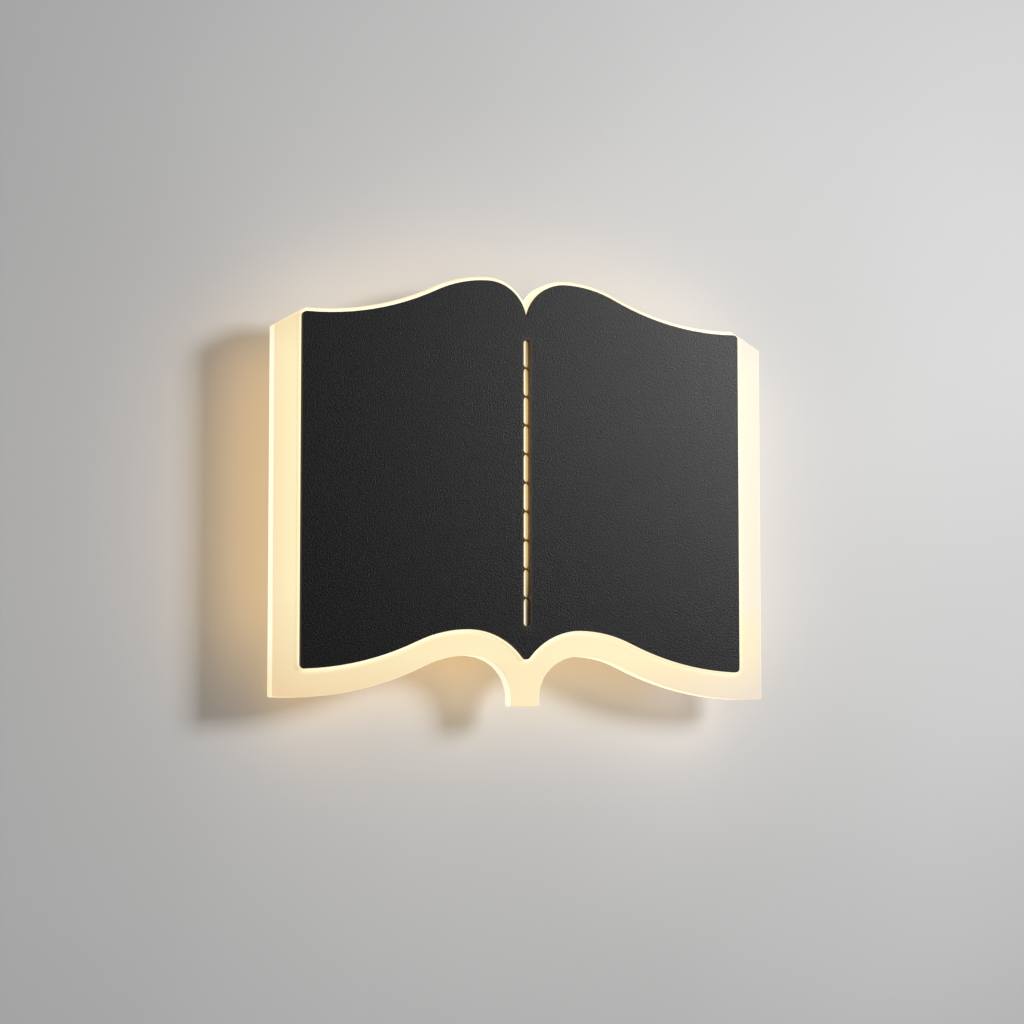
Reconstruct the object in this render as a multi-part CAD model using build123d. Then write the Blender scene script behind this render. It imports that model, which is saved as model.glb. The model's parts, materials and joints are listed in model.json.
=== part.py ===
from build123d import *
from math import acos, asin, atan2, cos, degrees, pi, radians, sin, sqrt, tan
import os

# Open-book wall lamp. A black sheet cut as an open book stands in front of a thick frosted
# acrylic book, which glows. A folded steel box behind them holds the driver and the terminals,
# and hangs by two side screws in the slotted ears of a wall bracket.
#
# Millimetres. X runs right along the wall, Z up. The origin is on the wall, midway between the
# bracket's fixing slots. "Depth" is the distance out from the wall, so depth d lies at Y = -d.

# Front cover: one page, drawn from the spine out to its fore edge
page_width = 135.0
cover_thickness = 3.0
top_crown_x = 23.9
top_crown_z = 120.4
top_crown_radius = 70.7
top_swing = 26.1
top_sweep_radius = 163.0
foot_arch_x = 34.2
foot_arch_z = -80.5
foot_arch_radius = 75.4
foot_spine_slope = 57.0
foot_swing = 25.2
foot_sweep_radius = 169.4
page_overlap = 0.1
page_corner_radius = 2.5
notch_radius = 0.3
spine_tip_radius = 2.4
cover_edge_bevel = 0.3

# Stitch-like slots down the spine of the cover
slot_count = 10
slot_pitch = 16.6
slot_web = 0.8
slot_width = 3.7
slot_row_z = 4.3

# Acrylic diffuser behind the cover
diffuser_thickness = 10.0
diffuser_rim = 15.5
diffuser_lip = 2.4
diffuser_foot_rim = 14.8
diffuser_foot_swing = 25.8
corner_cut_z = 88.5
corner_cut_angle = 30.0
diffuser_corner_radius = 1.0
diffuser_notch_radius = 0.8
diffuser_edge_bevel = 0.4
stem_width = 17.2
stem_foot_z = -124.2
stem_arch_radius = 28.0
stem_blend_radius = 23.5
groove_depth = 5.0
groove_clearance = 0.5

# Back plate, light boards and chips
back_plate_thickness = 1.5
back_plate_inset = 4.0
back_plate_overlap = 0.8
board_inset = 16.0
board_width = 10.0
board_spine_gap = 3.0
board_thickness = 1.5
board_corner_radius = 3.0
chip_length = 3.5
chip_width = 2.8
chip_height = 0.8
chips_per_page = 28
chips_per_screw = 7

# Weld studs that clamp the cover, the diffuser and the back plate together
stud_inset = 9.5
stud_radius = 1.5
stud_flange_radius = 2.6
stud_flange_height = 0.8
stud_clearance = 0.2
washer_radius = 3.5
washer_thickness = 0.5
nut_flats = 5.5
nut_height = 2.4
thread_gap = 0.05
stud_overrun = 0.9

# Canopy
canopy_width = 150.0
canopy_height = 100.0
canopy_depth = 25.0
canopy_wall = 1.2
canopy_corner_radius = 10.0
canopy_bend_radius = 2.0
wall_gap = 0.5
canopy_screw_side_inset = 15.0
canopy_screw_top_inset = 12.0

# Side screws, clinch nuts and the bracket that they hang on
side_screw_radius = 1.95
side_screw_depth = 9.0
side_head_radius = 5.0
side_head_height = 6.0
side_flute_count = 18
side_flute_radius = 0.6
side_nut_height = 2.8
side_nut_flats = 7.0
ear_gap = 1.0
ear_clearance = 0.35
ear_overrun = 2.5
ear_top_z = 8.0
ear_corner_radius = 3.0
ear_mouth_bevel = 1.2
bracket_height = 24.0
bracket_thickness = 1.5
bracket_reach = 15.0
bracket_bend_radius = 2.0
fixing_spacing = 80.0
fixing_slot_length = 12.0
fixing_slot_width = 4.5
cable_hole_radius = 8.0
grommet_bore_radius = 5.5
grommet_flange_radius = 10.0
grommet_flange_height = 1.5
grommet_fit = 0.1

# Small pan-head screws, all of one size
screw_radius = 1.45
screw_head_radius = 2.8
screw_head_height = 1.7
screw_head_round = 1.0
screw_clearance = 0.15
screw_bite = 1.2
recess_width = 0.7
recess_length = 3.2
recess_depth = 0.9

# Small rounds, bevels and gaps of the moulded parts
moulded_round = 1.0
moulded_bevel = 0.6
fit_gap = 0.2

# Connector at the spine
connector_z = 14.0
connector_width = 14.0
connector_height = 8.0
connector_depth = 12.5
connector_stand = 3.0
connector_clearance = 0.4
pin_pitch = 4.0
pin_width = 1.2
pin_thickness = 0.5
pin_reach = 3.5

# Driver
driver_length = 90.0
driver_height = 28.0
driver_depth = 18.0
driver_x = 1.0
driver_z = -30.0
driver_wall = 1.6
driver_corner_radius = 2.0
driver_ear = 8.0
driver_ear_thickness = 2.0
driver_ear_offset = 8.0
driver_post_radius = 2.0
driver_post_height = 2.5
driver_board_thickness = 1.6
driver_lid_rim = 1.5
transformer_size = 18.0
transformer_height = 9.0
capacitor_radius = 4.5
capacitor_height = 9.0

# Terminal block
terminal_x = -29.0
terminal_z = 26.0
terminal_width = 22.0
terminal_depth = 14.0
terminal_pitch = 9.0
terminal_margin = 0.5
terminal_ear_width = 10.0
terminal_ear_length = 6.0
terminal_ear_thickness = 2.5
terminal_floor = 3.0
supply_hole_radius = 1.4
supply_hole_depth = 7.0
button_width = 6.0
button_height = 5.0
button_length = 8.0
button_proud = 2.0
button_clearance = 0.15
clamp_width = 4.0
clamp_length = 5.0
clamp_thickness = 0.5
clamp_leaf_angle = 40.0

# Leads, the clips that hold them in pairs, and the earth bond
lead_radius = 0.9
lead_depth = 20.0
lead_clearance = 0.08
lead_insertion = 1.6
lead_pitch = 6.0
lead_offset = 1.0
lead_side_inset = 10.5
lead_sidestep = 7.5
supply_lead_rise = 16.0
light_lead_swing = 14.0
supply_clip_z = -4.0
light_clip_x = 27.0
clip_length = 5.0
clip_margin = 2.5
earth_x = -50.4
earth_z = -3.0
earth_ring_radius = 3.4
earth_ring_thickness = 0.8
earth_barrel_radius = 1.4
earth_barrel_start = 1.4
earth_barrel_length = 5.0
earth_lead_sidestep = 3.7
earth_lead_straight = 2.5

# Depths of the stacked layers, from the wall outwards
canopy_front = wall_gap + canopy_depth
canopy_floor = canopy_front - canopy_wall
back_plate_front = canopy_front + back_plate_thickness
board_front = back_plate_front + board_thickness
diffuser_front = back_plate_front + diffuser_thickness
bracket_half = canopy_width / 2 - canopy_wall - side_nut_height - ear_gap

# Rows that several parts share
pole_heights = [terminal_z + step * terminal_pitch for step in (1, 0, -1)]
pin_heights = [connector_z + pin_pitch / 2, connector_z - pin_pitch / 2]
live_x = lead_side_inset - canopy_width / 2
neutral_x = live_x + lead_pitch


def at_depth(depth):
    """A plane parallel to the wall; its own Y is up and its normal points into the room."""
    return Plane.XZ.offset(depth)


def layer(outline, depth, thickness):
    """A flat piece that starts at a depth and grows out into the room."""
    return extrude(at_depth(depth) * outline, thickness)


def block(x, z, width, height, depth, thickness):
    return layer(Pos(x, z) * Rectangle(width, height), depth, thickness)


def rod(x, z, radius, depth, thickness):
    return layer(Pos(x, z) * Circle(radius), depth, thickness)


def along_x(x, depth, z):
    """A plane at right angles to X, with its normal towards +X."""
    return Plane(origin=(x, -depth, z), x_dir=(0, 1, 0), z_dir=(1, 0, 0))


def both_sides(shape):
    return [shape, mirror(shape, about=Plane.YZ)]


def roll(crown_x, peak_z, radius, spine_x):
    """The arc that rolls from the crown down to the spine."""
    angle = degrees(acos((crown_x - spine_x) / radius))
    return CenterArc((crown_x, peak_z - radius), radius, 180 - angle, angle - 90)


def swell(crown_x, peak_z, crown_radius, swing, sweep_radius, fore_x):
    """The crown's outer arc and the long hollow sweep out to the fore edge, tangent to it."""
    crown = CenterArc((crown_x, peak_z - crown_radius), crown_radius, 90, -swing)
    reach = crown_radius + sweep_radius
    sweep_x = crown_x + reach * sin(radians(swing))
    sweep_z = peak_z - crown_radius + reach * cos(radians(swing))
    outer_angle = degrees(asin((fore_x - sweep_x) / sweep_radius))
    return [crown, CenterArc((sweep_x, sweep_z), sweep_radius, 270 - swing, swing + outer_angle)]


def top_edge(rise, spine_x, overlap, fore_x):
    """Head of the page, moved out by `rise`; its roll would come in plumb `overlap` past spine_x."""
    peak_z = top_crown_z + rise
    radius = top_crown_x - spine_x + overlap
    outer = swell(
        top_crown_x, peak_z, top_crown_radius + rise, top_swing, top_sweep_radius - rise, fore_x
    )
    return [roll(top_crown_x, peak_z, radius, spine_x), *outer]


def foot_swell(rise, fore_x, swing=foot_swing):
    """The outer part of the page's foot, moved up by `rise`."""
    return swell(
        foot_arch_x, foot_arch_z + rise, foot_arch_radius + rise, swing, foot_sweep_radius - rise, fore_x
    )


def foot_edge(rise, spine_x, fore_x):
    """The whole foot of the page, moved up by `rise`."""
    radius = foot_arch_x / sin(radians(foot_spine_slope)) + rise
    return [roll(foot_arch_x, foot_arch_z + rise, radius, spine_x), *foot_swell(rise, fore_x)]


def page(inset, spine_x, overlap=0):
    """The right-hand page, drawn in by `inset` on three sides and starting at spine_x."""
    fore_x = page_width - inset
    top = top_edge(-inset, spine_x, overlap, fore_x)
    foot = foot_edge(inset, spine_x, fore_x)
    fore = Line(top[-1] @ 1, foot[-1] @ 1)
    spine = Line(foot[0] @ 0, top[0] @ 0)
    return make_face([*top, fore, *foot, spine])


def rounded_page(inset, spine_x, radius):
    """The same page with its two fore corners and its lower spine corner rounded."""
    outline = page(inset, spine_x)
    fore_x = page_width - inset
    corners = [
        v for v in outline.vertices()
        if abs(v.X - fore_x) < 0.01 or (abs(v.X - spine_x) < 0.01 and v.Y < 0)
    ]
    return fillet(corners, radius)


def cover_outline():
    """Both pages; each roll into the spine aims a hair past the middle, so that they meet in a notch."""
    book = Sketch() + both_sides(page(0, 0, page_overlap))
    book = fillet([v for v in book.vertices() if abs(abs(v.X) - page_width) < 0.01], page_corner_radius)
    book = fillet([v for v in book.vertices() if abs(v.X) < 0.01 and v.Y > 0], notch_radius)
    return fillet([v for v in book.vertices() if abs(v.X) < 0.01 and v.Y < 0], spine_tip_radius)


def diffuser_outline():
    """The page grown by the rim and the lip, with arches that run down into the stem."""
    fore_x = page_width + diffuser_rim
    half_stem = stem_width / 2
    top = top_edge(diffuser_lip, 0, page_overlap + diffuser_lip, fore_x)
    arch, sweep = foot_swell(-diffuser_foot_rim, fore_x, diffuser_foot_swing)
    arch_z = foot_arch_z - diffuser_foot_rim - stem_arch_radius
    across = foot_arch_x - half_stem - stem_blend_radius
    between = stem_arch_radius - stem_blend_radius
    meet_angle = degrees(acos(across / between))
    blend_z = arch_z + sqrt(between**2 - across**2)
    blend_x = half_stem + stem_blend_radius
    inner = CenterArc((foot_arch_x, arch_z), stem_arch_radius, 180 - meet_angle, meet_angle - 90)
    blend = CenterArc((blend_x, blend_z), stem_blend_radius, 180 - meet_angle, meet_angle)
    sides = Polyline(
        (half_stem, blend_z), (half_stem, stem_foot_z), (0, stem_foot_z), top[0] @ 0
    )
    fore = Line(top[-1] @ 1, sweep @ 1)
    half = make_face([*top, fore, sweep, arch, inner, blend, *sides.edges()])
    rise = tan(radians(corner_cut_angle))
    reach = 3 * diffuser_rim
    corner = make_face(Polyline(
        (fore_x + 1, corner_cut_z - rise),
        (fore_x - reach, corner_cut_z + reach * rise),
        (fore_x + 1, corner_cut_z + reach * rise),
        close=True,
    ))
    book = Sketch() + both_sides(half - corner)
    sharp = [v for v in book.vertices() if abs(abs(v.X) - fore_x) < 0.01 or v.Y < stem_foot_z + 0.01]
    book = fillet(sharp, diffuser_corner_radius)
    return fillet([v for v in book.vertices() if abs(v.X) < 0.01 and v.Y > 0], diffuser_notch_radius)


def board_outline(extra):
    """A closed ring round one page, wider by `extra` on each side."""
    outer = rounded_page(board_inset - extra, board_spine_gap - extra, board_corner_radius + extra)
    inner_inset = board_inset + board_width + extra
    return outer - rounded_page(inner_inset, board_spine_gap + board_width + extra, board_corner_radius)


def along_board(steps):
    """Places down the middle of the right-hand ring, as (x, z, angle), clear of the connector."""
    middle = board_width / 2
    line = rounded_page(board_inset + middle, board_spine_gap + middle, board_width).wire()
    places = []
    for step in steps:
        point = line @ step
        heading = line % step
        near_height = abs(point.Y - connector_z) < connector_height / 2 + chip_length
        if near_height and point.X < board_spine_gap + board_width:
            continue
        places.append((point.X, point.Y, degrees(atan2(heading.Y, heading.X))))
    return places


def chip_places():
    return along_board([(step + 0.5) / chips_per_page for step in range(chips_per_page)])


def board_screw_places():
    return along_board([step / chips_per_page for step in range(0, chips_per_page, chips_per_screw)])


def stud_places():
    """The eight studs: page corners, crowns and arches, all at one inset from the edge."""
    fore_x = page_width - stud_inset
    right = [
        (fore_x, (top_edge(0, 0, 0, fore_x)[-1] @ 1).Y - stud_inset),
        (top_crown_x, top_crown_z - stud_inset),
        (foot_arch_x, foot_arch_z + stud_inset),
        (fore_x, (foot_edge(0, 0, fore_x)[-1] @ 1).Y + stud_inset),
    ]
    return [(side * x, z) for side in (-1, 1) for x, z in right]


def canopy_screw_places():
    x = canopy_width / 2 - canopy_screw_side_inset
    z = canopy_height / 2 - canopy_screw_top_inset
    return [(i * x, j * z) for i in (-1, 1) for j in (-1, 1)]


def driver_ear_places():
    """The left ear stands high and the right one low, so that the leads pass beside them."""
    reach = (driver_length + driver_ear) / 2
    return [(driver_x + side * reach, driver_z - side * driver_ear_offset) for side in (-1, 1)]


def terminal_height():
    return len(pole_heights) * terminal_pitch + 2 * terminal_margin


def terminal_ear_places():
    reach = (terminal_height() + terminal_ear_length) / 2
    return [(terminal_x, terminal_z + reach), (terminal_x, terminal_z - reach)]


def pan_screw(reach):
    """Pan-head screw; its head stands on the plane and its shank goes `reach` below it."""
    head = Pos(0, 0, screw_head_height / 2) * Cylinder(screw_head_radius, screw_head_height)
    head = fillet(head.edges().sort_by(Axis.Z)[-1], screw_head_round)
    shank = Pos(0, 0, -reach / 2) * Cylinder(screw_radius, reach)
    slot = Pos(0, 0, screw_head_height) * Box(recess_length, recess_width, 2 * recess_depth)
    return head + shank - slot - Rot(0, 0, 90) * slot


def screws_from_wall(places, seat_depth, reach):
    """Screws whose heads look at the wall and whose shanks run out towards the room."""
    return [at_depth(seat_depth) * Pos(x, z) * Rot(180, 0, 0) * pan_screw(reach) for x, z in places]


def hexagon(flats):
    return RegularPolygon(flats / 2, 6, major_radius=False)


def front_cover():
    slot_length = slot_pitch - slot_web
    slots = [
        Pos(0, slot_row_z + (step - (slot_count - 1) / 2) * slot_pitch)
        * SlotOverall(slot_length, slot_width, rotation=90)
        for step in range(slot_count)
    ]
    plate = layer(cover_outline() - slots, diffuser_front, cover_thickness)
    front = plate.faces().sort_by(Axis.Y)[0]
    return chamfer(front.edges(), cover_edge_bevel)


def cover_studs():
    length = diffuser_front - canopy_front + washer_thickness + nut_height + stud_overrun
    studs = []
    for x, z in stud_places():
        flange_depth = diffuser_front - stud_flange_height
        flange = rod(x, z, stud_flange_radius, flange_depth, stud_flange_height)
        studs.append(flange + rod(x, z, stud_radius, diffuser_front - length, length))
    return studs


def stud_washers():
    ring = Circle(washer_radius) - Circle(stud_radius + screw_clearance)
    seat = canopy_front - washer_thickness
    return [layer(Pos(x, z) * ring, seat, washer_thickness) for x, z in stud_places()]


def stud_nuts():
    ring = hexagon(nut_flats) - Circle(stud_radius + thread_gap)
    seat = canopy_front - washer_thickness - nut_height
    return [layer(Pos(x, z) * ring, seat, nut_height) for x, z in stud_places()]


def diffuser():
    """The acrylic book, with a ring groove behind each page for its light board."""
    plate = layer(diffuser_outline(), back_plate_front, diffuser_thickness)
    for groove in both_sides(layer(board_outline(groove_clearance), back_plate_front, groove_depth)):
        plate -= groove
    pocket = 2 * connector_clearance + 2 * pin_reach
    plate -= block(
        0, connector_z, connector_width + pocket, connector_height + 2 * connector_clearance,
        back_plate_front, groove_depth,
    )
    recess = stud_flange_height + stud_clearance
    for x, z in stud_places():
        plate -= rod(x, z, stud_radius + stud_clearance, back_plate_front, diffuser_thickness)
        plate -= rod(x, z, stud_flange_radius + stud_clearance, diffuser_front - recess, recess)
    for x, z in canopy_screw_places():
        plate -= rod(x, z, 2 * screw_radius, back_plate_front, 2 * screw_bite)
    front = plate.faces().sort_by(Axis.Y)[0]
    back = [f for f in plate.faces() if abs(f.center().Y + back_plate_front) < 0.01]
    frame = max(back, key=lambda face: face.area)
    rims = [*front.outer_wire().edges(), *frame.outer_wire().edges()]
    return chamfer(rims, diffuser_edge_bevel)


def connector_window(depth, thickness):
    spare = 2 * connector_clearance
    return block(0, connector_z, connector_width + spare, connector_height + spare, depth, thickness)


def back_plate():
    book = Sketch() + both_sides(page(back_plate_inset, 0, back_plate_overlap))
    plate = layer(book, canopy_front, back_plate_thickness)
    plate -= connector_window(canopy_front, back_plate_thickness)
    for x, z in stud_places():
        plate -= rod(x, z, stud_radius + stud_clearance, canopy_front, back_plate_thickness)
    tapped = [*canopy_screw_places(), *driver_ear_places(), *terminal_ear_places(), (earth_x, earth_z)]
    tapped += [(side * x, z) for side in (-1, 1) for x, z, _ in board_screw_places()]
    for x, z in tapped:
        plate -= rod(x, z, screw_radius + thread_gap, canopy_front, back_plate_thickness)
    return plate


def led_boards():
    """The right board and its mirror image, each notched where the connector comes through."""
    board = layer(board_outline(0), back_plate_front, board_thickness)
    board -= connector_window(back_plate_front, board_thickness)
    for x, z, _ in board_screw_places():
        board -= rod(x, z, screw_radius + screw_clearance, back_plate_front, board_thickness)
    return both_sides(board)


def led_chips():
    """Chips on the right board, and their mirror images."""
    chip = Pos(0, 0, chip_height / 2) * Box(chip_length, chip_width, chip_height)
    right = [at_depth(board_front) * Pos(x, z) * Rot(0, 0, angle) * chip for x, z, angle in chip_places()]
    return right, [mirror(one, about=Plane.YZ) for one in right]


def board_screws():
    reach = board_thickness + back_plate_thickness
    places = [(side * x, z) for side in (-1, 1) for x, z, _ in board_screw_places()]
    return [at_depth(board_front) * Pos(x, z) * pan_screw(reach) for x, z in places]


def lead_hole(plane_x, z, inward):
    """A blind hole for a lead's end, sunk into a face at plane_x."""
    depth = lead_insertion + fit_gap
    middle = plane_x + inward * depth / 2
    return along_x(middle, lead_depth, z) * Cylinder(lead_radius + lead_clearance, depth)


def led_connector():
    seat = back_plate_front + connector_stand - connector_depth
    body = block(0, connector_z, connector_width, connector_height, seat, connector_depth)
    body = chamfer(body.edges().filter_by(Axis.Y), moulded_bevel)
    for z in pin_heights:
        body -= lead_hole(connector_width / 2, z, -1)
    return body


def connector_pins():
    centre = (connector_width + pin_reach) / 2
    return [
        block(side * centre, z, pin_reach, pin_width, board_front, pin_thickness)
        for side in (-1, 1) for z in pin_heights
    ]


def canopy():
    outer = RectangleRounded(canopy_width, canopy_height, canopy_corner_radius)
    inner = offset(outer, -canopy_wall)
    shell = layer(outer, wall_gap, canopy_depth)
    shell = fillet(shell.faces().sort_by(Axis.Y)[0].edges(), canopy_bend_radius)
    hollow = layer(inner, wall_gap, canopy_depth - canopy_wall)
    hollow = fillet(hollow.faces().sort_by(Axis.Y)[0].edges(), canopy_bend_radius - canopy_wall)
    shell = shell - hollow - connector_window(canopy_floor, canopy_wall)
    for x, z in [*canopy_screw_places(), *driver_ear_places(), *terminal_ear_places(), (earth_x, earth_z)]:
        shell -= rod(x, z, screw_radius + screw_clearance, canopy_floor, canopy_wall)
    hole = Cylinder(side_screw_radius + screw_clearance, canopy_width)
    return shell - along_x(0, side_screw_depth, 0) * hole


def side_screws():
    """Knurled screws; the lamp hangs on their shanks."""
    reach = canopy_wall + side_nut_height + ear_gap + bracket_thickness + ear_overrun
    head = Circle(side_head_radius)
    flute = Circle(side_flute_radius)
    head -= [loc * flute for loc in PolarLocations(side_head_radius, side_flute_count)]
    screw = extrude(head, side_head_height) + Pos(0, 0, -reach / 2) * Cylinder(side_screw_radius, reach)
    return both_sides(along_x(canopy_width / 2, side_screw_depth, 0) * screw)


def side_nuts():
    ring = hexagon(side_nut_flats) - Circle(side_screw_radius + thread_gap)
    inside = canopy_width / 2 - canopy_wall - side_nut_height
    return both_sides(extrude(along_x(inside, side_screw_depth, 0) * ring, side_nut_height))


def wall_bracket():
    """A folded strip: flat on the wall, with an ear at each end that is slotted from its top."""
    outer = Pos(0, -bracket_reach / 2) * Rectangle(2 * bracket_half, bracket_reach)
    outer = fillet([v for v in outer.vertices() if v.Y > -0.01], bracket_bend_radius)
    inner = Pos(0, -bracket_reach / 2 - bracket_thickness) * Rectangle(
        2 * (bracket_half - bracket_thickness), bracket_reach
    )
    bend = [v for v in inner.vertices() if v.Y > -bracket_reach / 2]
    inner = fillet(bend, bracket_bend_radius - bracket_thickness)
    strip = extrude(outer - inner, bracket_height / 2, both=True)
    free_depth = bracket_bend_radius + bracket_thickness
    spare_z = bracket_height / 2 - ear_top_z
    over_ears = Pos(0, -bracket_reach, ear_top_z + spare_z / 2) * Box(
        3 * bracket_half, 2 * (bracket_reach - free_depth), spare_z
    )
    strip -= over_ears
    tips = [
        e for e in strip.edges().filter_by(Axis.X)
        if abs(e.center().Y + bracket_reach) < 0.01 and e.length < 2 * bracket_thickness
    ]
    strip = fillet(tips, ear_corner_radius)
    radius = side_screw_radius + ear_clearance
    strip -= along_x(0, side_screw_depth, 0) * Cylinder(radius, 3 * bracket_half)
    strip -= Pos(0, -side_screw_depth, ear_top_z / 2) * Box(3 * bracket_half, 2 * radius, ear_top_z)
    mouths = [
        e for e in strip.edges().filter_by(Axis.X)
        if abs(e.center().Z - ear_top_z) < 0.01
        and abs(abs(e.center().Y + side_screw_depth) - radius) < 0.01
    ]
    strip = chamfer(mouths, ear_mouth_bevel)
    strip -= rod(0, 0, cable_hole_radius, 0, bracket_thickness)
    for side in (-1, 1):
        slot = Pos(side * fixing_spacing / 2, 0) * SlotOverall(fixing_slot_length, fixing_slot_width)
        strip -= layer(slot, 0, bracket_thickness)
    return strip


def cable_grommet():
    barrel = rod(0, 0, cable_hole_radius - grommet_fit, grommet_fit, bracket_thickness - grommet_fit)
    flange = rod(0, 0, grommet_flange_radius, bracket_thickness, grommet_flange_height)
    flange = fillet(flange.edges().sort_by(Axis.Y)[0], grommet_flange_height / 2)
    return barrel + flange - rod(0, 0, grommet_bore_radius, 0, bracket_reach)


def driver_lead_heights():
    """The left end holds the supply pair below its ear, the right end the light pair above its own."""
    near = lead_offset
    far = lead_offset + lead_pitch
    return [driver_z - far, driver_z - near], [driver_z + near, driver_z + far]


def driver_case():
    """A tray on the canopy's floor, open to the wall, with posts for its board and two ears."""
    height = driver_depth - driver_wall
    outline = Pos(driver_x, driver_z) * RectangleRounded(driver_length, driver_height, driver_corner_radius)
    tray = layer(outline, canopy_floor - height, height)
    tray -= layer(offset(outline, -driver_wall), canopy_floor - height, height - driver_wall)
    for x, z in driver_board_corners():
        post_seat = canopy_floor - driver_wall - driver_post_height
        tray += rod(x, z, driver_post_radius, post_seat, driver_post_height)
    for side, (x, z) in zip((-1, 1), driver_ear_places()):
        ear = Pos(x, z) * RectangleRounded(driver_ear, driver_ear, driver_corner_radius)
        root = Pos(x - side * driver_ear / 4, z) * Rectangle(driver_ear / 2, driver_ear)
        ear = ear + root - Pos(x, z) * Circle(screw_radius + screw_clearance)
        tray += layer(ear, canopy_floor - driver_ear_thickness, driver_ear_thickness)
    left, right = driver_lead_heights()
    for z in left:
        tray -= lead_hole(driver_x - driver_length / 2, z, 1)
    for z in right:
        tray -= lead_hole(driver_x + driver_length / 2, z, -1)
    return tray


def driver_board_size():
    spare = 2 * (driver_wall + fit_gap)
    return driver_length - spare, driver_height - spare


def driver_board_corners():
    length, height = driver_board_size()
    dx = length / 2 - 2 * driver_post_radius
    dz = height / 2 - 2 * driver_post_radius
    return [(driver_x + i * dx, driver_z + j * dz) for i in (-1, 1) for j in (-1, 1)]


def driver_board_back():
    """Depth of the circuit board's face that looks at the wall."""
    return canopy_floor - driver_wall - driver_post_height - driver_board_thickness


def driver_lid():
    seat = canopy_floor - driver_depth
    outline = Pos(driver_x, driver_z) * RectangleRounded(driver_length, driver_height, driver_corner_radius)
    lid = layer(outline, seat, driver_wall)
    lid = chamfer(lid.faces().sort_by(Axis.Y)[-1].edges(), moulded_bevel)
    outer_rim = offset(outline, -driver_wall - fit_gap)
    return lid + layer(outer_rim - offset(outer_rim, -driver_wall), seat + driver_wall, driver_lid_rim)


def driver_board():
    length, height = driver_board_size()
    return block(driver_x, driver_z, length, height, driver_board_back(), driver_board_thickness)


def driver_transformer():
    """A ferrite core with two side legs, and the windings above and below its yoke."""
    size = transformer_size
    seat = driver_board_back() - transformer_height
    window = Rectangle(size * 2 / 3, size) - Rectangle(size, size / 3)
    place = Pos(driver_x, driver_z)
    core = layer(place * (Rectangle(size, size) - window), seat, transformer_height)
    return [core, layer(place * window, seat + fit_gap, transformer_height - fit_gap)]


def driver_capacitors():
    seat = driver_board_back() - capacitor_height
    places = [driver_x + side * driver_length / 4 for side in (-1, 1)]
    return [rod(x, driver_z, capacitor_radius, seat, capacitor_height) for x in places]


def terminal_chamber():
    """Depth at which the button chambers end, a floor's thickness above the canopy."""
    return canopy_floor - terminal_floor


def terminal_block():
    back = canopy_floor - terminal_depth
    body = block(terminal_x, terminal_z, terminal_width, terminal_height(), back, terminal_depth)
    body = fillet(body.edges().filter_by(Axis.Y), moulded_round)
    body = chamfer(body.faces().sort_by(Axis.Y)[-1].edges(), moulded_bevel)
    for x, z in terminal_ear_places():
        ear = Pos(x, z) * RectangleRounded(terminal_ear_width, terminal_ear_length, driver_corner_radius)
        inward = terminal_ear_length / 4 * (1 if z < terminal_z else -1)
        ear += Pos(x, z + inward) * Rectangle(terminal_ear_width, terminal_ear_length / 2)
        ear -= Pos(x, z) * Circle(screw_radius + screw_clearance)
        body += layer(ear, canopy_floor - terminal_ear_thickness, terminal_ear_thickness)
    for z in pole_heights:
        wide = button_width + 2 * button_clearance
        high = button_height + 2 * button_clearance
        body -= block(terminal_x, z, wide, high, back, terminal_chamber() - back)
        body -= lead_hole(terminal_x - terminal_width / 2, z, 1)
        mouth = along_x(terminal_x + (terminal_width - supply_hole_depth) / 2, lead_depth, z)
        body -= mouth * Cylinder(supply_hole_radius, supply_hole_depth)
    return body


def release_button(z):
    """A push button that stands proud of the block's back and is pressed towards the room."""
    seat = canopy_floor - terminal_depth - button_proud
    button = block(terminal_x, z, button_width, button_height, seat, button_length)
    return fillet(button.faces().sort_by(Axis.Y)[-1].edges(), moulded_bevel)


def terminal_clamps():
    """Bent leaf springs that lie on the chamber floors, under the buttons."""
    clamps = []
    half = clamp_thickness / 2
    for z in pole_heights:
        seat = at_depth(terminal_chamber() - half) * Pos(terminal_x, z)
        foot = seat * Box(clamp_length, clamp_width, clamp_thickness)
        hinge = seat * Pos(clamp_length / 2 - half, 0, 0) * Rot(0, -clamp_leaf_angle, 0)
        leaf = hinge * Pos(-clamp_length / 4, 0, 0) * Box(clamp_length / 2, clamp_width, clamp_thickness)
        clamps.append(foot + leaf)
    return clamps


def tube(points):
    """A lead along straight runs joined by arcs, each as large as its two runs allow."""
    places = [Vector(x, -depth, z) for x, z, depth in points]
    runs = [b - a for a, b in zip(places, places[1:])]
    radii = []
    for one, two in zip(runs, runs[1:]):
        turn = radians(one.get_angle(two))
        radii.append(0.45 * min(one.length, two.length) / tan(turn / 2))
    path = FilletPolyline(*places, radius=radii)
    shape = sweep(Plane(origin=path @ 0, z_dir=path % 0) * Circle(lead_radius), path=path)
    share = shape.volume / (path.length * pi * lead_radius**2)
    bends = [round(radius, 1) for radius in radii]
    print("lead", round(path.length), "mm, radii", bends, "volume share", round(share, 4))
    return shape


def flat_lead(points):
    """A lead that lies all in one plane over the canopy's floor."""
    return tube([(x, z, lead_depth) for x, z in points])


def supply_lead(x, case_z, pole_z):
    """From the driver's left end, up beside the canopy's wall and back into the terminal block."""
    case_x = driver_x - driver_length / 2 + lead_insertion
    block_x = terminal_x - terminal_width / 2 + lead_insertion
    return flat_lead([
        (case_x, case_z), (x + lead_sidestep, case_z), (x, case_z + supply_lead_rise),
        (x, pole_z - supply_lead_rise), (x + lead_sidestep, pole_z), (block_x, pole_z),
    ])


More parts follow.
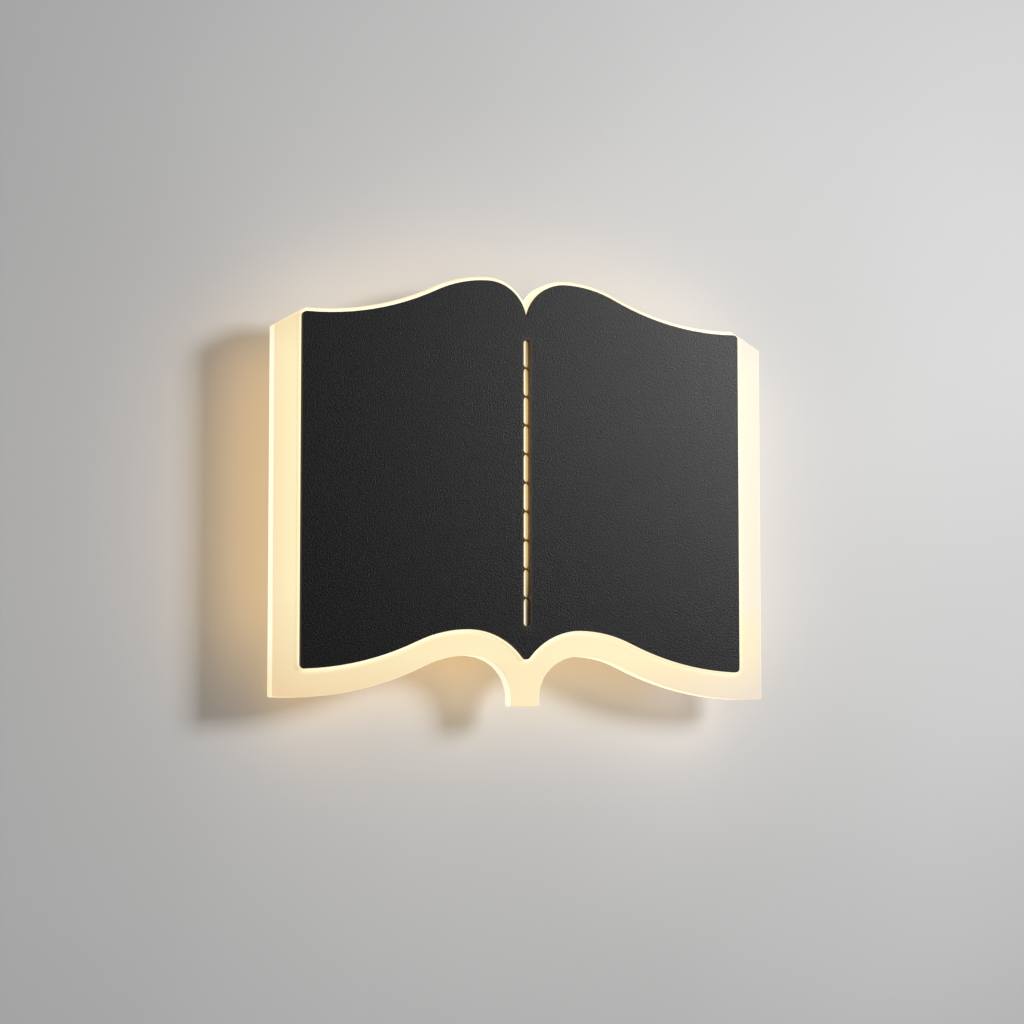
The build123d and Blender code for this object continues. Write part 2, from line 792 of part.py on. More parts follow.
def light_lead(x, case_z, pin_z):
    """From the driver's right end, round in one swing and straight into the connector."""
    case_x = driver_x + driver_length / 2 - lead_insertion
    return flat_lead([
        (case_x, case_z), (x - lead_sidestep, case_z), (x, (case_z + pin_z) / 2),
        (x - light_lead_swing, pin_z), (connector_width / 2 - lead_insertion, pin_z),
    ])


def earth_lead():
    block_x = terminal_x - terminal_width / 2 + lead_insertion
    barrel_depth = canopy_floor - earth_barrel_radius
    barrel_foot = earth_z + earth_ring_radius + earth_barrel_start
    bend_z = barrel_foot + earth_barrel_length + earth_lead_straight
    return tube([
        (block_x, pole_heights[2], lead_depth), (earth_x + earth_lead_sidestep, pole_heights[2], lead_depth),
        (earth_x, bend_z, barrel_depth), (earth_x, barrel_foot + lead_insertion / 2, barrel_depth),
    ])


def earth_ring():
    """Ring tag: a flat eye under the screw and a barrel crimped round the lead."""
    barrel_depth = canopy_floor - earth_barrel_radius
    start = earth_z + earth_ring_radius + earth_barrel_start
    seat = canopy_floor - earth_ring_thickness
    tongue_top = start + earth_barrel_length / 2
    eye = Pos(earth_x, earth_z) * Circle(earth_ring_radius)
    tongue = Pos(earth_x, (earth_z + tongue_top) / 2) * Rectangle(earth_ring_radius, tongue_top - earth_z)
    flat = layer(eye + tongue - Pos(earth_x, earth_z) * Circle(screw_radius + screw_clearance),
                 seat, earth_ring_thickness)
    barrel = Pos(earth_x, -barrel_depth, start + earth_barrel_length / 2) * Cylinder(
        earth_barrel_radius, earth_barrel_length
    )
    bore = Pos(earth_x, -barrel_depth, start + earth_barrel_length / 2) * Cylinder(
        lead_radius + lead_clearance, 2 * earth_barrel_length
    )
    return flat + barrel - bore


def earth_washer():
    seat = canopy_floor - earth_ring_thickness - washer_thickness
    ring = Circle(screw_head_radius + fit_gap) - Circle(screw_radius + screw_clearance)
    return layer(Pos(earth_x, earth_z) * ring, seat, washer_thickness)


def lead_clip(across, holes, vertical):
    """A saddle on the canopy's floor round two leads, given their places across it."""
    span = abs(holes[1] - holes[0]) + 2 * clip_margin
    middle = sum(holes) / 2
    height = canopy_floor - lead_depth + clip_margin
    width, tall = (span, clip_length) if vertical else (clip_length, span)
    x, z = (middle, across) if vertical else (across, middle)
    body = block(x, z, width, tall, lead_depth - clip_margin, height)
    body = fillet(body.faces().sort_by(Axis.Y)[-1].edges(), moulded_round)
    for place in holes:
        hole = Cylinder(lead_radius + lead_clearance, 2 * clip_length)
        if vertical:
            body -= Pos(place, -lead_depth, across) * hole
        else:
            body -= along_x(across, lead_depth, place) * hole
    return body


def lead_clips():
    return [
        lead_clip(supply_clip_z, (live_x, neutral_x), True),
        lead_clip(light_clip_x, pin_heights, False),
    ]


def save(name, shapes):
    solids = [solid for shape in shapes for solid in shape.solids()]
    export_step(Compound(solids), os.path.join("parts", name + ".step"))


def main():
    os.makedirs("parts", exist_ok=True)
    right_board, left_board = led_boards()
    right_chips, left_chips = led_chips()
    ear_reach = canopy_wall + screw_bite
    washer_seat = canopy_floor - earth_ring_thickness - washer_thickness
    earth_reach = washer_thickness + earth_ring_thickness + ear_reach
    left_heights, right_heights = driver_lead_heights()
    nodes = {
        "front_cover": [front_cover()],
        "cover_studs": cover_studs(),
        "stud_washers": stud_washers(),
        "stud_nuts": stud_nuts(),
        "diffuser": [diffuser()],
        "back_plate": [back_plate()],
        "led_board_left": [left_board],
        "led_board_right": [right_board],
        "leds_left": left_chips,
        "leds_right": right_chips,
        "board_screws": board_screws(),
        "led_connector": [led_connector()],
        "connector_pins": connector_pins(),
        "canopy": [canopy()],
        "canopy_screws": screws_from_wall(
            canopy_screw_places(), canopy_floor, canopy_wall + back_plate_thickness + screw_bite
        ),
        "side_screws": side_screws(),
        "side_nuts": side_nuts(),
        "driver_case": [driver_case()],
        "driver_lid": [driver_lid()],
        "driver_board": [driver_board()],
        "driver_transformer": driver_transformer(),
        "driver_capacitors": driver_capacitors(),
        "driver_screws": screws_from_wall(
            driver_ear_places(), canopy_floor - driver_ear_thickness, driver_ear_thickness + ear_reach
        ),
        "terminal_block": [terminal_block()],
        "terminal_clamps": terminal_clamps(),
        "terminal_screws": screws_from_wall(
            terminal_ear_places(), canopy_floor - terminal_ear_thickness, terminal_ear_thickness + ear_reach
        ),
        "release_live": [release_button(pole_heights[0])],
        "release_neutral": [release_button(pole_heights[1])],
        "release_earth": [release_button(pole_heights[2])],
        "live_lead": [supply_lead(live_x, left_heights[0], pole_heights[0])],
        "neutral_lead": [supply_lead(neutral_x, left_heights[1], pole_heights[1])],
        "positive_lead": [light_lead(-neutral_x, right_heights[1], pin_heights[1])],
        "negative_lead": [light_lead(-live_x, right_heights[0], pin_heights[0])],
        "earth_lead": [earth_lead()],
        "earth_ring": [earth_ring()],
        "earth_washer": [earth_washer()],
        "earth_screw": screws_from_wall([(earth_x, earth_z)], washer_seat, earth_reach),
        "lead_clips": lead_clips(),
        "wall_bracket": [wall_bracket()],
        "cable_grommet": [cable_grommet()],
    }
    for name, shapes in nodes.items():
        save(name, shapes)


main()
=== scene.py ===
# %% [markdown]
# # An open-book wall lamp
# The lamp is a black sheet cut as an open book, in front of a larger book of frosted acrylic
# that glows along its edge. Behind them a folded steel box holds the driver and the terminals.
# The shapes arrive finished and fixed. This lesson gives them their surfaces and their light,
# and adds the small repeated forms that the frame leaves out, such as threads and wire turns.

# %% Load the fixed frame
import json
import math

import bmesh
import bpy
from mathutils import Matrix, Vector


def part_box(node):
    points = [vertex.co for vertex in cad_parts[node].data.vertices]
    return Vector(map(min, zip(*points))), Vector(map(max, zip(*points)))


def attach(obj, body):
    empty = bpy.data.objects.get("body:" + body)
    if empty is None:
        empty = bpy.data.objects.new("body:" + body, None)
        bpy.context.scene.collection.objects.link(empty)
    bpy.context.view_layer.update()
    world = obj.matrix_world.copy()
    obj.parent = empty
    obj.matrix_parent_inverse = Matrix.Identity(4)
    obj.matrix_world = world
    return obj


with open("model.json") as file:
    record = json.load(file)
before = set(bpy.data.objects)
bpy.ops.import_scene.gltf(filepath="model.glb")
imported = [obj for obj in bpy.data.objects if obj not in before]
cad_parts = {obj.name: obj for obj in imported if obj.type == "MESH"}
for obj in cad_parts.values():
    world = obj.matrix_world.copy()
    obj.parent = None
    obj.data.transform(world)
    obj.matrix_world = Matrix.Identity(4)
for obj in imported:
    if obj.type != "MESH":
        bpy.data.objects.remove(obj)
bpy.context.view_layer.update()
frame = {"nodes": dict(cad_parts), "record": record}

MM = 0.001
scene = bpy.context.scene

# %% [markdown]
# ## The camera
# The photograph was taken from the lamp's left with a long lens, looking a little upwards. A
# long lens keeps upright edges nearly parallel. The camera is placed by where it looks and how
# far away it stands, because two angles and a distance are easier to correct than three
# coordinates.

# %% Camera
VIEW_YAW = math.radians(21.34)
VIEW_PITCH = math.radians(4.58)
VIEW_DISTANCE = 1.592
VIEW_AIM = Vector((-0.0080, -0.0367, -0.0127))
LENS, SENSOR_WIDTH = 97.4, 36.0

heading = Vector((
    math.sin(VIEW_YAW) * math.cos(VIEW_PITCH),
    math.cos(VIEW_YAW) * math.cos(VIEW_PITCH),
    math.sin(VIEW_PITCH),
))
camera = bpy.data.objects.new("camera", bpy.data.cameras.new("camera"))
camera.data.lens = LENS
camera.data.sensor_width = SENSOR_WIDTH
camera.location = VIEW_AIM - heading * VIEW_DISTANCE
camera.rotation_euler = heading.to_track_quat("-Z", "Y").to_euler()
scene.collection.objects.link(camera)
scene.camera = camera
print("camera stands at", [round(v, 3) for v in camera.location])

# %% [markdown]
# ## Node helpers
# Every finish below is a small node tree. A few helpers keep the trees readable: one adds a
# node and fills in its named sockets, and the others link, calculate, blend two colours, read a
# position or a direction, and make clouds. They could be written out each time, but then the
# idea of a finish would be lost among its links.

# %% Adding, linking and calculating
def add(tree, kind, settings=None, **values):
    """A new node; `settings` are its own options, and the other names are its sockets."""
    node = tree.nodes.new(kind)
    for name, value in (settings or {}).items():
        setattr(node, name, value)
    for name, value in values.items():
        node.inputs[name.replace("_", " ")].default_value = value
    return node


def link(tree, start, end):
    tree.links.new(start, end)


def math_node(tree, operation, first, second=0.0):
    """A Math node whose two inputs are each a socket or a number."""
    node = tree.nodes.new("ShaderNodeMath")
    node.operation = operation
    for slot, value in enumerate((first, second)):
        if isinstance(value, (int, float)):
            node.inputs[slot].default_value = value
        else:
            link(tree, value, node.inputs[slot])
    return node.outputs[0]


def times(tree, first, second):
    return math_node(tree, "MULTIPLY", first, second)


def ramp(tree, value, low, high, low_out=0.0, high_out=1.0):
    """A clamped Map Range node: low_out at `low`, high_out at `high`."""
    reach = {"From_Min": low, "From_Max": high, "To_Min": low_out, "To_Max": high_out}
    node = add(tree, "ShaderNodeMapRange", **reach)
    link(tree, value, node.inputs["Value"])
    return node.outputs["Result"]


print("helpers for values ready")

# %% Colours, places and directions
def blend_colours(tree, factor, low, high):
    """Mixes two colours, each a socket or a tuple, by a socket or a number."""
    node = tree.nodes.new("ShaderNodeMix")
    node.data_type = "RGBA"
    for name, value in (("Factor_Float", factor), ("A_Color", low), ("B_Color", high)):
        socket = next(s for s in node.inputs if s.identifier == name)
        if isinstance(value, bpy.types.NodeSocket):
            link(tree, value, socket)
        elif isinstance(value, (int, float)):
            socket.default_value = value
        else:
            socket.default_value = (*value[:3], 1.0)
    return next(s for s in node.outputs if s.identifier == "Result_Color")


def split(tree, vector):
    """The X, Y and Z of a vector."""
    axes = add(tree, "ShaderNodeSeparateXYZ")
    link(tree, vector, axes.inputs[0])
    return axes.outputs


def object_axes(tree):
    """Where a point of the surface lies, in metres in the lamp's own frame."""
    return split(tree, add(tree, "ShaderNodeTexCoord").outputs["Object"])


def facing_axes(tree, kind="Normal"):
    """Which way the surface faces."""
    return split(tree, add(tree, "ShaderNodeNewGeometry").outputs[kind])


def noise_mask(tree, low, high, scale=None, stretch=None, **noise):
    """Clouds over the object, 0 where they are below `low` and 1 above `high`."""
    place = add(tree, "ShaderNodeTexCoord").outputs["Object"]
    if stretch is not None:
        stretched = add(tree, "ShaderNodeVectorMath", {"operation": "MULTIPLY"})
        stretched.inputs[1].default_value = stretch
        link(tree, place, stretched.inputs[0])
        place = stretched.outputs[0]
    clouds = add(tree, "ShaderNodeTexNoise", **noise)
    link(tree, place, clouds.inputs["Vector"])
    if scale is not None:
        link(tree, scale, clouds.inputs["Scale"])
    return ramp(tree, clouds.outputs["Fac"], low, high)


print("helpers for colours ready")

# %% Starting, tinting and roughening a material
def new_material(name, **values):
    """A new material, its tree and its main shader with these values."""
    material = bpy.data.materials.new(name)
    material.use_nodes = True
    tree = material.node_tree
    tree.nodes.clear()
    output = add(tree, "ShaderNodeOutputMaterial")
    shader = add(tree, "ShaderNodeBsdfPrincipled", **values)
    link(tree, shader.outputs[0], output.inputs["Surface"])
    return material, tree, shader


def tint(tree, mask, colour):
    """Lays a second colour over the colour that a finish has, where the mask is 1."""
    shader = next(n for n in tree.nodes if n.type == "BSDF_PRINCIPLED")
    own = shader.inputs["Base Color"].links[0].from_socket
    link(tree, blend_colours(tree, mask, own, colour), shader.inputs["Base Color"])
    return shader


def relief(tree, shader, height, strength, distance):
    """Raises the surface by a height of 0 to 1; `distance` is in metres."""
    bump = add(tree, "ShaderNodeBump", Strength=strength, Distance=distance)
    link(tree, height, bump.inputs["Height"])
    link(tree, bump.outputs["Normal"], shader.inputs["Normal"])


print("helpers for materials ready")

# %% [markdown]
# ## The wall and the floor
# The lamp hangs on a plain painted wall. Only the front of the wall is painted for the camera;
# from behind it is clear, so that the lamp's back can be looked at too. The floor lies far
# below, out of the photograph's frame, and shows in the views from higher up.

# %% Wall paint
def one_sided_paint(name, colour):
    """Matt paint with a faint roller texture, seen by the camera and only from its front."""
    material, tree, shader = new_material(name, Roughness=0.85, Specular_IOR_Level=0.15)
    lighter = tuple(channel * 1.03 for channel in colour)
    darker = tuple(channel * 0.97 for channel in colour)
    clouds = noise_mask(tree, 0.35, 0.65, Scale=3.0, Detail=2.0)
    link(tree, blend_colours(tree, clouds, darker, lighter), shader.inputs["Base Color"])
    place = add(tree, "ShaderNodeTexCoord")
    stipple = add(tree, "ShaderNodeTexNoise", Scale=420.0, Detail=3.0)
    link(tree, place.outputs["Object"], stipple.inputs["Vector"])
    relief(tree, shader, stipple.outputs["Fac"], 0.05, 0.3 * MM)
    path = add(tree, "ShaderNodeLightPath")
    side = add(tree, "ShaderNodeNewGeometry")
    front = math_node(tree, "SUBTRACT", 1.0, side.outputs["Backfacing"])
    seen = times(tree, path.outputs["Is Camera Ray"], front)
    clear = add(tree, "ShaderNodeBsdfTransparent")
    choose = add(tree, "ShaderNodeMixShader")
    link(tree, seen, choose.inputs["Fac"])
    link(tree, clear.outputs[0], choose.inputs[1])
    link(tree, shader.outputs[0], choose.inputs[2])
    output = next(n for n in tree.nodes if n.type == "OUTPUT_MATERIAL")
    link(tree, choose.outputs[0], output.inputs["Surface"])
    return material


print("paint ready")

# %% Wall and floor
def stage_sheet(name, corners, material):
    mesh = bpy.data.meshes.new(name)
    mesh.from_pydata(corners, [], [(0, 1, 2, 3)])
    sheet = bpy.data.objects.new(name, mesh)
    sheet.data.materials.append(material)
    scene.collection.objects.link(sheet)
    return sheet


WALL_TONE = (0.66, 0.66, 0.66)
FLOOR_TONE = (0.72, 0.72, 0.71)
WALL_HALF, WALL_TOP, FLOOR_Z, FLOOR_REACH = 3.0, 2.4, -1.1, 3.5
WALL_Y = 0.0002
wall = stage_sheet(
    "wall",
    [
        (-WALL_HALF, WALL_Y, FLOOR_Z), (WALL_HALF, WALL_Y, FLOOR_Z),
        (WALL_HALF, WALL_Y, WALL_TOP), (-WALL_HALF, WALL_Y, WALL_TOP),
    ],
    one_sided_paint("wall_paint", WALL_TONE),
)
stage_sheet(
    "floor",
    [
        (-WALL_HALF, -FLOOR_REACH, FLOOR_Z), (WALL_HALF, -FLOOR_REACH, FLOOR_Z),
        (WALL_HALF, WALL_Y, FLOOR_Z), (-WALL_HALF, WALL_Y, FLOOR_Z),
    ],
    one_sided_paint("floor_paint", FLOOR_TONE),
)
print("wall faces", [round(v) for v in wall.data.polygons[0].normal])

# %% [markdown]
# ## Studio light
# The shadow on the wall tells where the main light stood: to the right, above and in front, and
# near enough that the left of the wall is darker than the right. The rest is a pale room, made
# by the world: it is brighter to the right, to the left, above and behind the lamp, and nearly
# dark in front, because the black sheet would mirror a bright room.

# %% Main light
KEY_AZIMUTH = math.radians(37.0)
KEY_HEIGHT = math.radians(14.0)
KEY_DISTANCE = 1.6
KEY_AIM = Vector((0.18, 0.0, 0.060))
KEY_WATTS, KEY_SIZE, KEY_SPREAD = 2.55, 0.45, math.radians(60.0)

key_data = bpy.data.lights.new("key_light", "AREA")
key_data.energy = KEY_WATTS
key_data.size = KEY_SIZE
key_data.spread = KEY_SPREAD
key_light = bpy.data.objects.new("key_light", key_data)
key_light.location = KEY_AIM + KEY_DISTANCE * Vector((
    math.sin(KEY_AZIMUTH) * math.cos(KEY_HEIGHT),
    -math.cos(KEY_AZIMUTH) * math.cos(KEY_HEIGHT),
    math.sin(KEY_HEIGHT),
))
key_light.rotation_euler = (KEY_AIM - key_light.location).to_track_quat("-Z", "Y").to_euler()
scene.collection.objects.link(key_light)
print("main light at", [round(v, 2) for v in key_light.location])

# %% The pale room
def rising(tree, value, low, high):
    """0 below `low`, 1 above `high`, with soft ends."""
    soft = {"interpolation_type": "SMOOTHSTEP"}
    node = add(tree, "ShaderNodeMapRange", soft, From_Min=low, From_Max=high)
    link(tree, value, node.inputs["Value"])
    return node.outputs["Result"]


ROOM_DARK = 0.03
ROOM_SHOWN = 0.4
ROOM_SIDES = (
    ("X", 1.0, 0.34, 0.85, 0.70), ("X", -1.0, 0.15, 0.70, 0.38),
    ("Z", 1.0, 0.20, 0.80, 0.42), ("Y", 1.0, 0.10, 0.70, 0.45),
)
world = bpy.data.worlds.new("room")
world.use_nodes = True
scene.world = world
room = world.node_tree
room.nodes.clear()
direction = split(room, add(room, "ShaderNodeTexCoord").outputs["Generated"])
level = ROOM_DARK
for axis, sign, low, high, strength in ROOM_SIDES:
    reach = times(room, direction[axis], sign)
    side_light = times(room, rising(room, reach, low, high), strength)
    level = math_node(room, "ADD", side_light, level)
room_path = add(room, "ShaderNodeLightPath")
backdrop = times(room, room_path.outputs["Is Camera Ray"], ROOM_SHOWN)
background = add(room, "ShaderNodeBackground", Color=(1.0, 1.0, 1.0, 1.0))
link(room, math_node(room, "ADD", level, backdrop), background.inputs["Strength"])
room_output = add(room, "ShaderNodeOutputWorld")
link(room, background.outputs[0], room_output.inputs["Surface"])
scene.view_settings.view_transform = "Standard"
print("room sides", len(ROOM_SIDES))

# %% [markdown]
# ## The lamp's own light on the wall
# The light boards also shine out past the edge of the back plate and colour the wall. Sending
# that light through the acrylic would be slow and noisy, so narrow warm lights lie behind the
# rim and face the wall. Each follows a short stretch of the edge. Left and below, where the
# main light doesn't reach, the wall takes most of the warm tone. One small cool light behind
# the right foot takes some of the yellow out again.

# %% One warm strip
STRIP_WIDTH = 0.012
NEAR_WALL, NEAR_RIM = 24.5, 33.0


def warm_strip(name, start, end, depth, outward, strength, colour):
    """A narrow light between two (x, z) places in millimetres, facing the wall."""
    a = Vector((start[0] * MM, -depth * MM, start[1] * MM))
    b = Vector((end[0] * MM, -depth * MM, end[1] * MM))
    data = bpy.data.lights.new(name, "AREA")
    data.shape = "RECTANGLE"
    data.size, data.size_y = STRIP_WIDTH, (b - a).length
    data.energy = strength * math.pi * data.size * data.size_y
    data.color = colour
    strip = bpy.data.objects.new(name, data)
    along = (b - a).normalized()
    looks = (Vector((0.0, 1.0, 0.0)) + Vector(outward)).normalized()
    looks = (looks - looks.dot(along) * along).normalized()
    turn = Matrix((along.cross(-looks), along, -looks)).transposed().to_4x4()
    strip.matrix_world = Matrix.Translation((a + b) / 2) @ turn
    strip.visible_camera = False
    strip.visible_glossy = False
    scene.collection.objects.link(strip)
    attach(strip, "lamp")


print("strips are", STRIP_WIDTH / MM, "mm wide")

# %% Strips along the two fore edges
TAN = (1.0, 0.50, 0.08)
CREAM = (1.0, 0.72, 0.40)
PALE = (1.0, 0.82, 0.62)
AMBER = (1.0, 0.54, 0.15)
COOL = (0.62, 0.75, 1.0)
STRAIGHT = (0.0, 0.0, 0.0)

TAN_EDGE_X, TAN_EDGE_Z = 142, (-88, 80)
CREAM_EDGE_X, CREAM_EDGE_Z, CREAM_EDGE_TILT = 153, (-92, 84), 0.8
EDGE_ROWS = ((-1, "left", 1.68, 2.0, AMBER), (1, "right", 0.3, 1.15, PALE))
for side, word, tan_strength, cream_strength, colour in EDGE_ROWS:
    edge = [(side * TAN_EDGE_X, z) for z in TAN_EDGE_Z]
    warm_strip(f"tan_edge_{word}", *edge, NEAR_WALL, STRAIGHT, tan_strength, TAN)
    edge = [(side * CREAM_EDGE_X, z) for z in CREAM_EDGE_Z]
    outward = (side * CREAM_EDGE_TILT, 0.0, 0.0)
    warm_strip(f"cream_edge_{word}", *edge, NEAR_RIM, outward, cream_strength, colour)
print("fore edges", len(EDGE_ROWS))

# %% Strips along the heads, the feet and the stem
FOOT_LINE = [(12, -104), (22, -92), (44, -90), (66, -96), (92, -106), (118, -111), (141, -112)]
HEAD_LINE = [(8, 112), (24, 114), (50, 108), (80, 98), (112, 91), (138, 89)]
FOOT_LIFT, HEAD_LIFT, LINE_TILT = -9, 11, 0.6
LINE_ROWS = (
    (-1, "foot_left", FOOT_LINE, FOOT_LIFT, PALE,
     (2.40, 2.50, 2.30, 1.50, 1.50, 2.00), (0.38, 0.55, 0.62, 0.45, 0.45, 0.85)),
    (1, "foot_right", FOOT_LINE, FOOT_LIFT, PALE,
     (1.95, 1.95, 1.90, 1.90, 1.10, 0.90), (1.25, 1.40, 1.50, 1.85, 1.65, 0.85)),
    (-1, "head_left", HEAD_LINE, HEAD_LIFT, CREAM, (0.5,) * 5, (1.10,) * 5),
    (1, "head_right", HEAD_LINE, HEAD_LIFT, CREAM, (0.3,) * 5, (1.05,) * 5),
)
for side, word, line, lift, colour, tan_strengths, cream_strengths in LINE_ROWS:
    outward = (0.0, 0.0, math.copysign(LINE_TILT, lift))
    for step, (one, two) in enumerate(zip(line, line[1:])):
        start, end = (side * one[0], one[1]), (side * two[0], two[1])
        warm_strip(
            f"tan_{word}_{step}", start, end, NEAR_WALL, STRAIGHT, tan_strengths[step], TAN
        )
        start, end = (start[0], start[1] + lift), (end[0], end[1] + lift)
        warm_strip(
            f"cream_{word}_{step}", start, end, NEAR_RIM, outward, cream_strengths[step], colour
        )
warm_strip("tan_stem", (-3, -98), (-3, -118), NEAR_WALL, (-0.3, 0.0, 0.0), 0.3, TAN)
warm_strip("cream_stem", (-36, -122), (-20, -122), 22.0, (0.0, 0.0, -0.3), 1.4, CREAM)
warm_strip("cool_foot_right", (100, -113), (121, -116), NEAR_WALL, (0.0, 0.0, -0.3), 1.6, COOL)

# %% [markdown]
# ## Shared effects
# Four effects turn up in several finishes, so each is one node group with its own inputs: a
# fine grain with its height, a slow drift of tone, bright worn edges, and the streaks that
# rolling leaves on sheet metal. A group hands out masks and heights only, and each material
# decides what to do with them.

# %% Group: fine grain
def new_group(name, inputs, outputs):
    """A shader group, its input node and its output node."""
    group = bpy.data.node_groups.new(name, "ShaderNodeTree")
    for socket, value in inputs.items():
        made = group.interface.new_socket(socket, in_out="INPUT", socket_type="NodeSocketFloat")
        made.default_value = value
    for socket in outputs:
        group.interface.new_socket(socket, in_out="OUTPUT", socket_type="NodeSocketFloat")
    return group, group.nodes.new("NodeGroupInput"), group.nodes.new("NodeGroupOutput")


grain_group, grain_in, grain_out = new_group(
    "fine_grain", {"Grains per metre": 1500.0, "Contrast": 0.5}, ["Mask", "Height"],
)
grain_mask = noise_mask(
    grain_group, 0.3, 0.7, grain_in.outputs["Grains per metre"], Detail=2.0, Roughness=0.6
)
grain_centred = math_node(grain_group, "SUBTRACT", grain_mask, 0.5)
grain_spread = times(grain_group, grain_centred, grain_in.outputs["Contrast"])
link(grain_group, math_node(grain_group, "ADD", grain_spread, 0.5), grain_out.inputs["Mask"])
link(grain_group, grain_mask, grain_out.inputs["Height"])
print("group", grain_group.name)

# %% Group: slow drift of tone
drift_group, drift_in, drift_out = new_group("tone_drift", {"Patches per metre": 30.0}, ["Mask"])
drift_mask = noise_mask(
    drift_group, 0.35, 0.65, drift_in.outputs["Patches per metre"], Detail=3.0, Roughness=0.55
)
link(drift_group, drift_mask, drift_out.inputs["Mask"])
print("group", drift_group.name)

# %% Group: worn edges
wear_group, wear_in, wear_out = new_group(
    "worn_edges", {"Width": 0.0004, "Amount": 1.0}, ["Mask"]
)
wear_bevel = add(wear_group, "ShaderNodeBevel", {"samples": 4})
link(wear_group, wear_in.outputs["Width"], wear_bevel.inputs["Radius"])
wear_side = add(wear_group, "ShaderNodeNewGeometry")
wear_match = add(wear_group, "ShaderNodeVectorMath", {"operation": "DOT_PRODUCT"})
link(wear_group, wear_bevel.outputs[0], wear_match.inputs[0])
link(wear_group, wear_side.outputs["Normal"], wear_match.inputs[1])
wear_turn = ramp(wear_group, wear_match.outputs["Value"], 0.98, 0.80)
wear_patches = noise_mask(wear_group, 0.4, 0.6, Scale=260.0, Detail=3.0)
wear_broken = times(wear_group, wear_turn, wear_patches)
wear_mask = times(wear_group, wear_broken, wear_in.outputs["Amount"])
link(wear_group, wear_mask, wear_out.inputs["Mask"])
print("group", wear_group.name)

# %% Group: rolled streaks
roll_group, roll_in, roll_out = new_group(
    "rolled_streaks", {"Streaks per metre": 1400.0}, ["Mask"]
)
ALONG_X = (0.02, 1.0, 1.0)
roll_mask = noise_mask(
    roll_group, 0.35, 0.65, roll_in.outputs["Streaks per metre"], ALONG_X,
    Detail=3.0, Roughness=0.65,
)
link(roll_group, roll_mask, roll_out.inputs["Mask"])
print("group", roll_group.name)

# %% [markdown]
# ## Finishes
# Most pieces are paint, plated metal or moulded plastic. They differ in colour, gloss, grain
# and wear, and share one recipe: the slow drift shades the colour, the fine grain roughens it,
# rolled metal gets its streaks, and the worn edges bring up a second colour. Each finish is
# then one row of numbers, which is quicker to compare and correct than twenty trees.

# %% The common recipe
def place_group(tree, group, **values):
    return add(tree, "ShaderNodeGroup", {"node_tree": group}, **values)


finishes = {}


def surface(
    name, colour, roughness, metallic=0.0, shade=0.85, patches=30.0, grains=1500.0,
    contrast=0.3, height=0.00002, bump=0.3, edge_colour=None, wear=1.0, specular=0.5, rolled=0.0,
):
    """Makes a finish by the common recipe and keeps it in `finishes`."""
    material, tree, shader = new_material(
        name, Metallic=metallic, Specular_IOR_Level=specular
    )
    drift = place_group(tree, drift_group, Patches_per_metre=patches)
    grain = place_group(tree, grain_group, Grains_per_metre=grains, Contrast=contrast)
    shaded = tuple(channel * shade for channel in colour)
    tone = blend_colours(tree, drift.outputs["Mask"], shaded, colour)
    dark_grain = tuple(0.8 * channel for channel in shaded)
    tone = blend_colours(tree, grain.outputs["Mask"], dark_grain, tone)
    if rolled:
        streaks = place_group(tree, roll_group)
        streaked = times(tree, streaks.outputs["Mask"], rolled)
        tone = blend_colours(tree, streaked, tone, tuple(0.55 * channel for channel in colour))
    if edge_colour:
        edges = place_group(tree, wear_group, Amount=wear)
        tone = blend_colours(tree, edges.outputs["Mask"], tone, edge_colour)
    link(tree, tone, shader.inputs["Base Color"])
    smooth, rough = max(roughness - 0.08, 0.02), min(roughness + 0.08, 1.0)
    gloss = ramp(tree, grain.outputs["Mask"], 0.0, 1.0, smooth, rough)
    link(tree, gloss, shader.inputs["Roughness"])
    relief(tree, shader, grain.outputs["Height"], bump, height)
    finishes[name] = material


print("recipe ready")

# %% Powder coat
surface(
    "powder_black", (0.0021, 0.0021, 0.0024), 0.36, shade=0.9, patches=14.0, grains=1100.0,
    contrast=0.9, height=0.00009, bump=0.65, specular=0.27,
)
print("powder coat for the cover and the canopy")

# %% Metals
surface(
    "mill_aluminium", (0.62, 0.62, 0.63), 0.36, metallic=1.0, patches=20.0, grains=2400.0,
    bump=0.12, edge_colour=(0.8, 0.8, 0.82), wear=0.6, rolled=0.45,
)
surface(
    "zinc_steel", (0.52, 0.53, 0.55), 0.30, metallic=1.0, patches=140.0, grains=3000.0,
    bump=0.12, edge_colour=(0.75, 0.75, 0.76), wear=0.7, rolled=0.25,
)
surface(
    "tinned_brass", (0.66, 0.60, 0.48), 0.28, metallic=1.0, patches=300.0, grains=4000.0,
    bump=0.1, edge_colour=(0.78, 0.62, 0.32), wear=0.8,
)
surface("solder", (0.70, 0.70, 0.68), 0.26, metallic=1.0, patches=600.0, grains=5000.0, bump=0.15)
surface(
    "enamelled_copper", (0.72, 0.27, 0.10), 0.30, metallic=1.0, patches=500.0, grains=6000.0,
    bump=0.1,
)
print("finishes", len(finishes))

# %% Moulded plastic and rubber
surface(
    "driver_white", (0.74, 0.74, 0.71), 0.48, patches=40.0, grains=2600.0, bump=0.35,
    edge_colour=(0.82, 0.82, 0.80), wear=0.5,
)
surface(
    "terminal_grey", (0.46, 0.47, 0.47), 0.42, patches=60.0, grains=2600.0, bump=0.3,
    edge_colour=(0.56, 0.57, 0.57), wear=0.5,
)
surface("button_orange", (0.80, 0.20, 0.02), 0.38, patches=120.0, grains=3000.0, bump=0.25)
surface("natural_nylon", (0.70, 0.68, 0.60), 0.40, patches=90.0, grains=2600.0, bump=0.2)
surface(
    "black_rubber", (0.018, 0.018, 0.018), 0.72, patches=80.0, grains=2200.0, bump=0.5,
    height=0.00005,
)
print("finishes", len(finishes))

